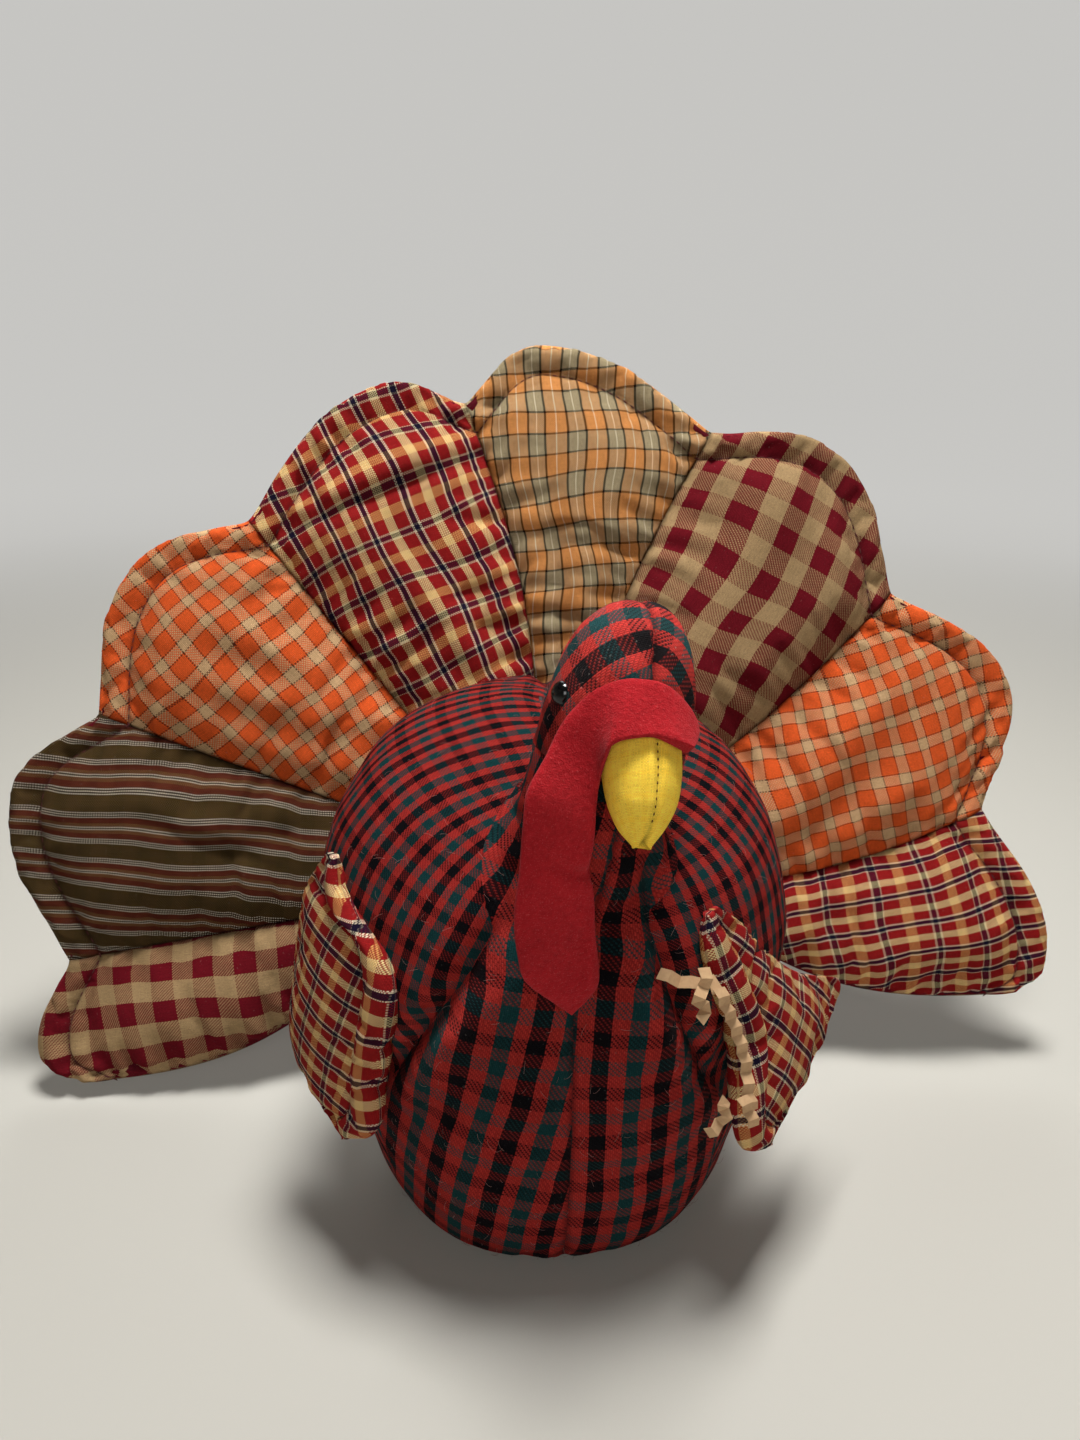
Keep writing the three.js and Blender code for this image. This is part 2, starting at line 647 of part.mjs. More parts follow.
const turkey = new THREE.Group();
turkey.add(torsoPanel('left'), torsoPanel('right'), basePanel(), torsoStuffing());

beakFrame.add(beakPanel('left'), beakPanel('right'), beakStuffing());
snoodFrame.add(snoodBridge());
neckFrame.add(neckPanel('left'), neckPanel('right'), neckStuffing(), eye('left'), eye('right'));
neckFrame.add(beakFrame, snoodFrame);
flapFrame.add(snoodFlap());
turkey.add(neckFrame, flapFrame);

const leftWing = wing('left');
const rightWing = wing('right');
leftWing.hanging.add(...paperStrands());
turkey.add(leftWing.frame, rightWing.frame, tail());

export default turkey;
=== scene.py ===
# %% [markdown]
# A stuffed harvest turkey, sewn from scraps of woven cotton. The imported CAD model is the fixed
# frame: it gives every place and size, and this lesson dresses it piece by piece. Lengths are
# written in millimetres, as a sewer would say them, and become metres when a mesh is made.

# %% Load the frame
import math
from contextlib import contextmanager

import bmesh
import bpy
import numpy as np
from mathutils import Matrix, Vector


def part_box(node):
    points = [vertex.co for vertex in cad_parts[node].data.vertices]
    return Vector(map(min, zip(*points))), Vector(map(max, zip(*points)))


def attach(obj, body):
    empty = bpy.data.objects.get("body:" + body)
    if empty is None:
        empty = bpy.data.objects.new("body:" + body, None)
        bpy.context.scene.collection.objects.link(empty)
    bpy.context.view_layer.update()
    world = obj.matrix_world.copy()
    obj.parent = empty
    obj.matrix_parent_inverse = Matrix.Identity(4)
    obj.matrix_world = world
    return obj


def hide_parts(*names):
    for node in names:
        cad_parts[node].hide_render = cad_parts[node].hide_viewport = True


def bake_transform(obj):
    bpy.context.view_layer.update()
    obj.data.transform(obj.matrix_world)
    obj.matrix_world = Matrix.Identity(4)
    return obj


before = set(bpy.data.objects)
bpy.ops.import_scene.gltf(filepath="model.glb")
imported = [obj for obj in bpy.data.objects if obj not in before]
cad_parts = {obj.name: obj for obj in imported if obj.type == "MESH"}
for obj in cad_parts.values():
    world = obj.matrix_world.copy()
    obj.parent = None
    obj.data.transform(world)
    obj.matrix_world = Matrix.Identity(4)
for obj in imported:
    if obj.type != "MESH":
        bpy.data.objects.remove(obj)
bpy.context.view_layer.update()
scene = bpy.context.scene
scene.view_settings.view_transform = "Standard"
MM = 0.001

# %% [markdown]
# The camera comes first, so that every piece can be compared with the photograph while it is made.
# The lens, the height and the tilt were solved from the outline of the figure: a phone held close
# and a little above, looking down by some twenty degrees.

# %% Camera
CAMERA_LENS = 27.05
CAMERA_PLACE = np.array([-30.71, -299.69, 276.23])
CAMERA_TURN = math.radians(4.73)
CAMERA_DIP = math.radians(20.29)
CAMERA_ROLL = math.radians(-0.84)

level = np.array([math.sin(CAMERA_TURN), math.cos(CAMERA_TURN), 0])
aside = np.array([math.cos(CAMERA_TURN), -math.sin(CAMERA_TURN), 0])
upward = np.array([0, 0, 1])
ahead = level * math.cos(CAMERA_DIP) - upward * math.sin(CAMERA_DIP)
down = -(level * math.sin(CAMERA_DIP) + upward * math.cos(CAMERA_DIP))
right = aside * math.cos(CAMERA_ROLL) + down * math.sin(CAMERA_ROLL)
low = down * math.cos(CAMERA_ROLL) - aside * math.sin(CAMERA_ROLL)
camera = bpy.data.objects.new("camera", bpy.data.cameras.new("camera"))
scene.collection.objects.link(camera)
columns = np.column_stack([right, -low, -ahead, CAMERA_PLACE * MM])
camera.matrix_world = Matrix((*columns.tolist(), (0, 0, 0, 1)))
camera.data.lens = CAMERA_LENS
camera.data.sensor_width = 36
camera.data.clip_start = 0.01
scene.camera = camera
print("camera at", [round(x) for x in CAMERA_PLACE], "mm")

# %% [markdown]
# Shader trees grow long when each node is placed by hand. This small class wraps one socket, and
# Python's own operators add the Math nodes, so a weave can be written down as arithmetic.
# Every other kind of node comes from one method: its settings first, then its sockets.

# %% A socket that takes part in arithmetic
def sign(operation, reflected=False):
    """A method that adds one Math node, so that one of Python's signs or a short name stands for it."""
    if reflected:
        return lambda self, other: self.maths(operation, other, self)
    return lambda self, *others: self.maths(operation, self, *others)


class Yarn:
    """One socket of a shader tree, or, without a socket, the tree itself."""

    def __init__(self, tree, socket=None):
        self.tree = tree
        self.socket = socket

    def node(self, kind, inputs=None, output=0, stops=None, **settings):
        made = self.tree.nodes.new(kind)
        for name, value in settings.items():
            setattr(made, name, value)
        if stops:
            ramp = made.color_ramp
            ramp.interpolation = "CONSTANT"
            while len(ramp.elements) < len(stops):
                ramp.elements.new(1)
            for element, (place, colour) in zip(ramp.elements, stops):
                element.position = place
                element.color = colour
        for key, value in (inputs or {}).items():
            if isinstance(value, Yarn):
                self.tree.links.new(value.socket, made.inputs[key])
            else:
                made.inputs[key].default_value = value
        return Yarn(self.tree, made.outputs[output])

    def maths(self, operation, *values):
        return self.node("ShaderNodeMath", dict(enumerate(values)), operation=operation)

    __add__, __radd__ = sign("ADD"), sign("ADD", reflected=True)
    __sub__, __rsub__ = sign("SUBTRACT"), sign("SUBTRACT", reflected=True)
    __mul__, __rmul__ = sign("MULTIPLY"), sign("MULTIPLY", reflected=True)
    __truediv__, __mod__, __lt__ = sign("DIVIDE"), sign("FLOORED_MODULO"), sign("LESS_THAN")
    floor, fract, absolute = sign("FLOOR"), sign("FRACT"), sign("ABSOLUTE")

    def eased(self, low, high):
        sockets = {0: self, 1: low, 2: high}
        return self.node("ShaderNodeMapRange", sockets, interpolation_type="SMOOTHSTEP")

    def mixed(self, first, second):
        """The colour first where this value is 0, and second where it is 1."""
        return self.node("ShaderNodeMix", {0: self, 6: first, 7: second}, 2, data_type="RGBA")

    def noise(self, vector, scale, detail=2.0):
        sockets = {"Vector": vector, "Scale": scale, "Detail": detail}
        return self.node("ShaderNodeTexNoise", sockets)

    def vector(self, x, y, z=0.0):
        return self.node("ShaderNodeCombineXYZ", {0: x, 1: y, 2: z})

    def object_place(self):
        return self.node("ShaderNodeTexCoord", output=3)

    def other(self, output):
        """Another output of the node that this socket belongs to."""
        return Yarn(self.tree, self.socket.node.outputs[output])


def srgb(red, green, blue):
    """A colour as a screen shows it, 0 to 255, as the linear colour that a shader takes."""
    shares = [value / 255 for value in (red, green, blue)]
    return (*[s / 12.92 if s < 0.04045 else ((s + 0.055) / 1.055) ** 2.4 for s in shares], 1)


def new_material(name, roughness, **constants):
    """A material, its tree as Yarn and its shader node, with the sockets that stay constant."""
    material = bpy.data.materials.new(name)
    material.use_nodes = True
    shader = material.node_tree.nodes["Principled BSDF"]
    shader.inputs["Roughness"].default_value = roughness
    for socket, value in constants.items():
        shader.inputs[socket.replace("_", " ")].default_value = value
    return material, Yarn(material.node_tree), shader


def finish_material(tree, shader, colour, roughness, height, distance, strength=0.7):
    links = tree.tree.links
    links.new(colour.socket, shader.inputs["Base Color"])
    links.new(roughness.socket, shader.inputs["Roughness"])
    sockets = {"Height": height, "Distance": distance, "Strength": strength}
    links.new(tree.node("ShaderNodeBump", sockets).socket, shader.inputs["Normal"])


print("shader arithmetic ready")

# %% [markdown]
# All the cloths are yarn-dyed: their checks come from coloured threads that cross, not from print.
# So the material weaves them: it reads the colour of the warp thread and of the weft thread at a
# place, and shows whichever lies on top there. A plain weave swaps at every thread and blends the
# two colours evenly at a distance; a twill floats each warp thread over two and reads as stripes.
# The coordinates are a UV map in metres, laid out on the flat cloth, so the checks bend with it.

# %% Woven cloth
# LINT is the grey of shed fibres; the dark colour beside it is painted shade for creases, seams and stitch
# grooves.
LINT, CREASE_SHADE = srgb(196, 186, 176), srgb(30, 14, 14)
STRAY = 1.1  # millimetres that a thread strays from its line


def thread_stops(bands):
    """Bands of (width in mm, colour) as the stops of a ramp, and the width of one repeat."""
    repeat = sum(width for width, _ in bands)
    starts = np.cumsum([0] + [width for width, _ in bands[:-1]]) / repeat
    return [(float(s), colour) for s, (_, colour) in zip(starts, bands)], repeat


def woven_cloth(name, warp, weft, thread=0.5, float_over=1, dust=0.06, depth=0.16, fuzzy=0.12, bold=0.0):
    """A yarn-dyed cotton. float_over is how many threads each warp thread floats over, fuzzy is the share of
    the under thread's colour that shows through the fluff of the one above, and bold is how far the
    darkest threads, being thicker, hide those they cross."""
    material, tree, shader = new_material(name, 0.9, Specular_IOR_Level=0.05)
    flat = tree.node("ShaderNodeUVMap", uv_map="cloth")
    wander = tree.node("ShaderNodeTexNoise", {"Vector": flat, "Scale": 70.0, "Detail": 1.0}, 1)
    parts = tree.node("ShaderNodeSeparateXYZ", {0: wander})
    shifts = [parts, parts.other(1)]
    split = tree.node("ShaderNodeSeparateXYZ", {0: flat})
    places = [split, split.other(1)]
    across, along = [p * (1 / MM) + (s - 0.5) * STRAY for p, s in zip(places, shifts)]

    end, pick = (across / thread).floor(), (along / thread).floor()
    warp_stops, warp_repeat = thread_stops(warp)
    weft_stops, weft_repeat = thread_stops(weft)
    end_place = ((end + 0.5) * (thread / warp_repeat)).fract()
    pick_place = ((pick + 0.5) * (thread / weft_repeat)).fract()
    warp_colour = tree.node("ShaderNodeValToRGB", {0: end_place}, stops=warp_stops)
    weft_colour = tree.node("ShaderNodeValToRGB", {0: pick_place}, stops=weft_stops)

    on_top = ((end + pick) % (float_over + 1.0)) < (float_over - 0.5)
    warp_round = 1.0 - ((across / thread).fract() - 0.5).absolute() * 2.0
    weft_round = 1.0 - ((along / thread).fract() - 0.5).absolute() * 2.0
    relief = on_top * warp_round + (1.0 - on_top) * weft_round
    warp_slub = tree.noise(tree.vector(end * 3.71, along * 0.35), 1.0)
    weft_slub = tree.noise(tree.vector(across * 0.35, pick * 3.71), 1.0)
    slub = on_top * warp_slub + (1.0 - on_top) * weft_slub

    shown = fuzzy + on_top * (1.0 - 2.0 * fuzzy)
    if bold:
        dark = [1.0 - tree.node("ShaderNodeRGBToBW", {0: thread_colour}).eased(0.02, 0.06)
                for thread_colour in (weft_colour, warp_colour)]
        shown = shown * (1.0 - dark[0] * bold * 0.5)
        shown = shown + (1.0 - shown) * dark[1] * bold
    colour = shown.mixed(weft_colour, warp_colour)
    faded = tree.noise(flat, 26.0, 4.0)
    # Painted shade: the relief term darkens the hollows between the threads. Slub and faded are the yarn's
    # own tone. The attribute read here lightens worn cloth, and in places it adds a painted highlight.
    worn = tree.node("ShaderNodeAttribute", output=2, attribute_name="worn")
    shade = (0.62 + relief * 0.42) * (0.55 + slub * 0.9) * (0.84 + faded * 0.32) * (1.0 + worn)
    colour = tree.node("ShaderNodeVectorMath", {0: colour, "Scale": shade}, operation="SCALE")
    fuzz = tree.noise(flat, 900.0, 1.0).eased(0.66, 0.80)
    veil = fuzz * dust + worn * (0.02 + fuzz * 0.3)
    colour = veil.mixed(colour, LINT)
    # Painted shade: the cloth darkens in its creases, seam grooves and along the stitching, where shade
    # falls.
    crease_shade_amount = tree.node("ShaderNodeAttribute", output=2, attribute_name="creased")
    colour = (crease_shade_amount * 0.55).mixed(colour, CREASE_SHADE)
    crinkle = tree.noise(flat, 260.0, 3.0)
    finish_material(tree, shader, colour, 0.82 + slub * 0.16, relief + crinkle * 1.2, depth * MM)
    return material


RED, BLACK, TEAL = srgb(168, 46, 40), srgb(13, 11, 14), srgb(19, 56, 57)
DEEP_RED = srgb(136, 36, 32)
tartan = woven_cloth(
    "body_tartan", [(4.2, RED), (4.7, BLACK), (4.2, RED), (4.7, TEAL)],
    [(4.0, DEEP_RED), (4.2, BLACK), (4.0, DEEP_RED), (4.2, TEAL)], float_over=2, bold=0.35)
WINE, TAN = srgb(108, 19, 29), srgb(170, 140, 100)
gingham_bands = [(8.4, WINE), (8.4, TAN)]
gingham = woven_cloth("burgundy_gingham", gingham_bands, gingham_bands, thread=0.4, float_over=2, fuzzy=0.14)
PLAID_RED, CREAM, NAVY = srgb(148, 29, 29), srgb(236, 214, 152), srgb(24, 18, 40)
WHITE, GOLD, CHALK = srgb(226, 212, 182), srgb(216, 156, 92), srgb(196, 176, 148)
plaid = woven_cloth(
    "red_plaid",
    [(0.7, WHITE), (1.7, NAVY), (0.7, WHITE), (4.2, PLAID_RED), (3.2, CREAM), (4.2, PLAID_RED)],
    [(0.6, CHALK), (1.9, NAVY), (0.6, CHALK), (5.2, PLAID_RED), (3.6, GOLD), (5.2, PLAID_RED)],
    thread=0.4, fuzzy=0.1, bold=0.75)
OLIVE, RUST, DOT = srgb(84, 66, 34), srgb(104, 40, 28), srgb(206, 194, 174)
EARTH, UMBER, SOIL = srgb(44, 32, 20), srgb(122, 80, 48), srgb(58, 40, 26)
pair = [(0.4, DOT), (0.4, EARTH), (0.4, DOT)]
dots = [*pair, (0.4, EARTH), (0.4, DOT)]
stripe = woven_cloth(
    "olive_stripe",
    [(5.6, OLIVE), *dots, (2.0, RUST), (1.2, UMBER), *pair, (1.2, UMBER), (2.0, RUST), *dots],
    [(5.0, EARTH), (5.0, SOIL)], thread=0.4, fuzzy=0.06)
ORANGE, CHECK_TAN, BARK = srgb(216, 88, 38), srgb(194, 158, 116), srgb(92, 46, 30)
check_bands = [(0.55, BARK), (5.8, ORANGE), (0.55, BARK), (3.7, CHECK_TAN)]
check = woven_cloth("orange_check", check_bands, check_bands)
AMBER, STONE, SOOT = srgb(204, 136, 76), srgb(158, 142, 110), srgb(12, 9, 8)
pane_warp = [(3.0, AMBER), (0.6, WHITE), (3.0, AMBER), (0.9, SOOT), (2.3, STONE), (0.6, WHITE),
             (2.3, STONE), (0.9, SOOT)]
pane_weft = [(7.6, AMBER), (0.8, SOOT), (7.6, STONE), (0.8, SOOT)]
windowpane = woven_cloth("tan_windowpane", pane_warp, pane_weft, thread=0.4, fuzzy=0.06, bold=0.5)
BACKING, BACKING_SHADE = srgb(96, 24, 34), srgb(88, 20, 30)
lining_cloth = woven_cloth(
    "lining", [(5.0, BACKING), (5.0, BACKING_SHADE)], [(7.0, BACKING), (3.0, WINE)])
YELLOW, YOLK = srgb(255, 214, 76), srgb(253, 206, 66)
beak_cotton = woven_cloth("beak_cotton", [(3.0, YELLOW), (2.0, YOLK)], [(4.0, YELLOW), (1.0, YOLK)],
                          thread=0.34, dust=0.04, depth=0.06)
print("woven cloths:", [cloth.name for cloth in (tartan, gingham, plaid, stripe, check, windowpane)])

# %% [markdown]
# Most pieces are grids of points that a rule works out, so a few helpers turn arrays into meshes and back.
# A piece's own frame is a place and three axes, and its cloth is the UV map that the weave reads.

# %% Helpers for meshes
WAVES = 24


def new_object(name, points, faces, material, flat=None, smooth=True):
    """A mesh object from points in millimetres. flat is a UV place in metres for each point."""
    mesh = bpy.data.meshes.new(name)
    mesh.from_pydata([tuple(p) for p in np.asarray(points) * MM], [], faces)
    mesh.validate()
    made = bpy.data.objects.new(name, mesh)
    scene.collection.objects.link(made)
    if material:
        mesh.materials.append(material)
    if flat is not None:
        set_flat(mesh, np.asarray(flat))
    mesh.shade_smooth() if smooth else mesh.shade_flat()
    return made


def corners_of(mesh):
    corners = np.zeros(len(mesh.loops), np.int32)
    mesh.loops.foreach_get("vertex_index", corners)
    return corners


def set_flat(mesh, flat):
    """Lays the mesh out on the cloth, by a place for each point or, where cloths meet, for each corner."""
    layer = mesh.uv_layers.get("cloth") or mesh.uv_layers.new(name="cloth")
    if len(flat) != len(mesh.loops):
        flat = flat[corners_of(mesh)]
    layer.data.foreach_set("uv", flat.astype(np.float32).ravel())


def set_shades(obj, **shades):
    """The numbers for each point that the cloths read: the painted shade of creases, seams and stitching,
    and the lightening of worn cloth and painted highlights.
    """
    for name, values in shades.items():
        attribute = obj.data.attributes.get(name) or obj.data.attributes.new(name, "FLOAT", "POINT")
        attribute.data.foreach_set("value", np.asarray(values, np.float32))


def points_of(obj):
    places = np.zeros(len(obj.data.vertices) * 3)
    obj.data.vertices.foreach_get("co", places)
    return places.reshape(-1, 3) / MM


def normals_of(obj):
    normals = np.zeros(len(obj.data.vertices) * 3)
    obj.data.vertex_normals.foreach_get("vector", normals)
    return normals.reshape(-1, 3)


def move_points(obj, places):
    obj.data.vertices.foreach_set("co", (places * MM).astype(np.float32).ravel())
    obj.data.update()


def grid_faces(rows, columns, around=False, start=0, flip=False):
    """Quads between the points of a grid that is stored row by row."""
    faces = []
    for row in range(rows - 1):
        for column in range(columns if around else columns - 1):
            beside = (column + 1) % columns
            corners = [(row, column), (row, beside), (row + 1, beside), (row + 1, column)]
            quad = [start + r * columns + c for r, c in corners]
            faces.append(quad[::-1] if flip else quad)
    return faces


@contextmanager
def edited(mesh):
    """A mesh's points, edges and faces as linked things, written back at the end."""
    tool = bmesh.new()
    tool.from_mesh(mesh)
    yield tool
    tool.to_mesh(mesh)
    tool.free()


def applied(obj):
    """Turns an object's modifiers into its plain mesh."""
    graph = bpy.context.evaluated_depsgraph_get()
    mesh = bpy.data.meshes.new_from_object(obj.evaluated_get(graph))
    obj.modifiers.clear()
    obj.data = mesh
    return obj


def thicken(obj, thickness):
    """Gives a single sheet its thickness, behind its front."""
    thick = obj.modifiers.new("thickness", "SOLIDIFY")
    thick.thickness = thickness * MM
    thick.offset = -1
    return applied(obj)


def eased(value, low, high):
    share = np.clip((value - low) / (high - low), 0, 1)
    return share * share * (3 - 2 * share)


def placed(local, place, x, y, z):
    """Points of a piece's own frame, in the shared frame."""
    return np.asarray(local) @ np.array([x, y, z]) + np.array(place)


def lathe(profile, sides):
    """A ring of points for each (radius, height) of a profile."""
    turns = np.linspace(0, 2 * math.pi, sides, endpoint=False)
    return np.vstack([np.column_stack([r * np.cos(turns), r * np.sin(turns), np.full(sides, z)])
                      for r, z in profile])


def length_so_far(line):
    """How far along a line each of its points lies."""
    return np.concatenate([[0], np.cumsum(np.linalg.norm(np.diff(line, axis=0), axis=1))])


def spread_evenly(line, count):
    """The same line, as points at even distances along it."""
    gone = length_so_far(line)
    even = np.linspace(0, gone[-1], count)
    return np.column_stack([np.interp(even, gone, line[:, k]) for k in range(3)])


def ripple(places, size, seed):
    """A smooth random field of about -1 to 1, the same on each run: a sum of seeded waves."""
    draw = np.random.default_rng(seed)
    total = np.zeros(len(places))
    for _ in range(WAVES):
        way = draw.normal(size=places.shape[1])
        way *= 2 * math.pi / (size * draw.uniform(0.6, 1.6)) / np.linalg.norm(way)
        total += np.sin(places @ way + draw.uniform(0, 2 * math.pi))
    return total / math.sqrt(WAVES / 2) / 1.6


print("mesh helpers ready")

# %% [markdown]
# Stuffing pushes cloth out between its seams, and the seams hold it back: that is what makes a
# padded piece look padded. Blender's Cloth does just that when the sewn points are pinned and a
# pressure fills the rest. The cloth is also given a little more length than the seam, as a sewing
# machine leaves it, and the spare length buckles into puckers. It runs on a scratch copy ten times
# larger, because the solver is steadier there, and only the moved points are kept.

# %% Stuffing by simulation
SIM_SCALE = 10
COTTON = dict(quality=6, mass=0.2, tension_stiffness=30, compression_stiffness=30, shear_stiffness=10,
              bending_stiffness=0.4, use_pressure=True, air_damping=3)


def stuffed(points, faces, sewn, pressure, spare, cap, frames=18):
    """The points after stuffing. sewn marks those that a seam holds, spare is the extra cloth."""
    scratch = new_object("scratch", points * SIM_SCALE, faces, None)
    group = scratch.vertex_groups.new(name="sewn")
    group.add([int(i) for i in np.flatnonzero(sewn)], 1.0, "REPLACE")
    cloth = scratch.modifiers.new("stuffing", "CLOTH")
    for name, value in COTTON.items():
        setattr(cloth.settings, name, value)
    cloth.settings.uniform_pressure_force = pressure
    cloth.settings.shrink_min = -spare
    cloth.settings.vertex_group_mass = group.name
    cloth.settings.effector_weights.gravity = 0
    cloth.collision_settings.use_collision = False
    cloth.point_cache.frame_end = frames
    for number in range(1, frames + 1):
        scene.frame_set(number)
    moved = points_of(applied(scratch)) / SIM_SCALE
    scene.frame_set(1)
    bpy.data.objects.remove(scratch)
    shift = moved - points
    reach = np.linalg.norm(shift, axis=1, keepdims=True)
    return points + shift * np.minimum(1, cap / np.maximum(reach, 1e-9))


print("stuffing ready, quick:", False)

# %% [markdown]
# Body, neck and head are cut as two mirrored side panels and sewn along the middle, from the breast
# over the head and down the back. The frame holds them as several solids that nearly touch. Joining
# copies of these and remeshing with voxels larger than the gaps gives one watertight skin in the space
# that the frame keeps for it. The skin is then cut along the seam, and each part is unwrapped like the
# flat panel it came from.

# %% Body skin
BODY_NODES = ["torso_panel_left", "torso_panel_right", "base_panel", "torso_stuffing",
              "neck_panel_left", "neck_panel_right", "neck_stuffing"]
SKIN_VOXEL = 2.6
NECK_PLACE = np.array([-9.0, -8.0, 92.0])
NECK_TURN, NECK_TILT = math.radians(12), math.radians(11)
NECK_RISE, NECK_LEAN = 88.0, 25.0


def skin_of(nodes, voxel, smoothing):
    """One watertight skin around copies of these CAD nodes."""
    tool = bmesh.new()
    for node in nodes:
        tool.from_mesh(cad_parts[node].data)
    bmesh.ops.remove_doubles(tool, verts=tool.verts, dist=1e-6)
    mesh = bpy.data.meshes.new("skin")
    tool.to_mesh(mesh)
    tool.free()
    made = bpy.data.objects.new("skin", mesh)
    scene.collection.objects.link(made)
    remesh = made.modifiers.new("remesh", "REMESH")
    remesh.mode = "VOXEL"
    remesh.voxel_size = voxel * MM
    smooth = made.modifiers.new("smooth", "SMOOTH")
    smooth.iterations = smoothing
    smooth.factor = 0.5
    return applied(made)


def largest_shell(obj):
    """Drops what the remesh left inside the skin."""
    with edited(obj.data) as tool:
        left, shells = set(tool.verts), []
        while left:
            front = [left.pop()]
            shell = set(front)
            while front:
                vert = front.pop()
                for edge in vert.link_edges:
                    other = edge.other_vert(vert)
                    if other in left:
                        left.discard(other)
                        shell.add(other)
                        front.append(other)
            shells.append(shell)
        shells.sort(key=len)
        bmesh.ops.delete(tool, geom=[v for s in shells[:-1] for v in s], context="VERTS")
    return len(shells)


body = skin_of(BODY_NODES, SKIN_VOXEL, smoothing=10)
body.name = body.data.name = "body_skin"
shells = largest_shell(body)
print("body skin:", len(body.data.vertices), "points, shells found", shells)

# %% Neck frame and the seam between the two side panels
turn = np.array([[math.cos(NECK_TURN), -math.sin(NECK_TURN), 0],
                 [math.sin(NECK_TURN), math.cos(NECK_TURN), 0], [0, 0, 1]])
tilt = np.array([[math.cos(NECK_TILT), 0, math.sin(NECK_TILT)], [0, 1, 0],
                 [-math.sin(NECK_TILT), 0, math.cos(NECK_TILT)]])
NECK_AXES = (turn @ tilt).T


def in_neck(places):
    return (places - NECK_PLACE) @ NECK_AXES.T


def neck_section(local):
    """The neck's middle line, half width and half depth at each place's height."""
    left = 1 - np.clip(local[:, 2] / NECK_RISE, 0, 1)
    flare = left ** 3.4
    return -NECK_LEAN * (1 - left ** 2.35), 18 + 19 * flare, 19 + 15 * flare


def neck_reach(local):
    """How far from the neck's middle a place in its frame is: 1 is its cloth."""
    centre, half_width, half_depth = neck_section(local)
    return np.hypot(local[:, 0] / half_width, (local[:, 1] - centre) / half_depth)


def neck_share(places):
    """1 on the neck and head, 0 on the body, with a soft change at the neck's root."""
    local = in_neck(places)
    return eased(local[:, 2], 0, 45) * (1 - eased(neck_reach(local), 1.05, 1.7))


def side_of(places):
    """The distance from the seam, positive on the bird's left."""
    share = neck_share(places)
    return (1 - share) * places[:, 0] + share * in_neck(places)[:, 0]


# %% [markdown]
# Where the neck is set into the body the cloth folds away: a deep crease runs down each side of the breast
# and hides some of the pattern. So the skin is cut there as well, along the zero line of a second field, and
# once more around the head, where a third field is zero. Breast, back and head are laid out apart. An
# unwrapped panel has no right way up of its own, so each is turned to match how it is seen, the front ones
# from in front and the others from the side.

# %% Panels
HEAD_LEVEL = 74
LEFT_FOLD = ([0, 45, 61.5, 78.5, 97.2, 108.6, 121.8, 140], [-45, -55, -51.7, -45.6, -33, -26.2, -18.7, -4])
RIGHT_FOLD = ([0, 55, 71.5, 87.8, 102.5, 115.9, 128, 140], [44, 47, 39.3, 31.2, 25.1, 21.6, 20.2, 8])


def front_of(places):
    """Positive on the neck and the breast, negative behind their folds."""
    x, y, z = places.T
    left, right = np.interp(z, *LEFT_FOLD), np.interp(z, *RIGHT_FOLD)
    breast = np.min([x - left, right - x, 30 * (z / 162) ** 2 - 5 - y], axis=0)
    local = in_neck(places)
    return np.maximum(breast, np.minimum((1.2 - neck_reach(local)) * 20, local[:, 2] - 18))


def head_of(places):
    """Positive on the head, above the level where the beak is set in."""
    return np.minimum(in_neck(places)[:, 2] - HEAD_LEVEL, front_of(places) + 2)


def cut_along(obj, field):
    """Cuts each edge that crosses the field's zero line, and marks the cut as a seam."""
    value = field(points_of(obj))
    value[np.abs(value) < 0.05] = 0.05
    with edited(obj.data) as tool:
        crossing = [e for e in tool.edges if value[e.verts[0].index] * value[e.verts[1].index] < 0]
        on_line = []
        for edge in crossing:
            first, second = (value[v.index] for v in edge.verts)
            on_line.append(bmesh.utils.edge_split(edge, edge.verts[0], first / (first - second))[1])
        line_points = set(on_line)
        bmesh.ops.connect_verts(tool, verts=on_line)
        for edge in tool.edges:
            edge.seam |= edge.verts[0] in line_points and edge.verts[1] in line_points
    return len(on_line)


def islands_of(obj):
    """The number of the panel that each face belongs to."""
    tool = bmesh.new()
    tool.from_mesh(obj.data)
    tool.faces.ensure_lookup_table()
    numbers, count = np.full(len(tool.faces), -1), 0
    for face in tool.faces:
        if numbers[face.index] >= 0:
            continue
        numbers[face.index], front = count, [face]
        while front:
            for edge in front.pop().edges:
                for other in [] if edge.seam else edge.link_faces:
                    if numbers[other.index] < 0:
                        numbers[other.index] = count
                        front.append(other)
        count += 1
    tool.free()
    return numbers


for field in (side_of, front_of, head_of):
    print("cut by", field.__name__, "at", cut_along(body, field), "points")

# %% Flat layout of the panels
FRONT_TURN, HEAD_TURN, BACK_TURN, BACK_CLOSER = 7, 20, 14, [1.7, 1.25]


def turned(flat, degrees):
    """A layout in millimetres turned on the cloth, as when a pattern piece is cut at an angle, in metres."""
    angle = math.radians(degrees)
    spin = np.array([[math.cos(angle), math.sin(angle)], [-math.sin(angle), math.cos(angle)]])
    return flat @ spin * MM


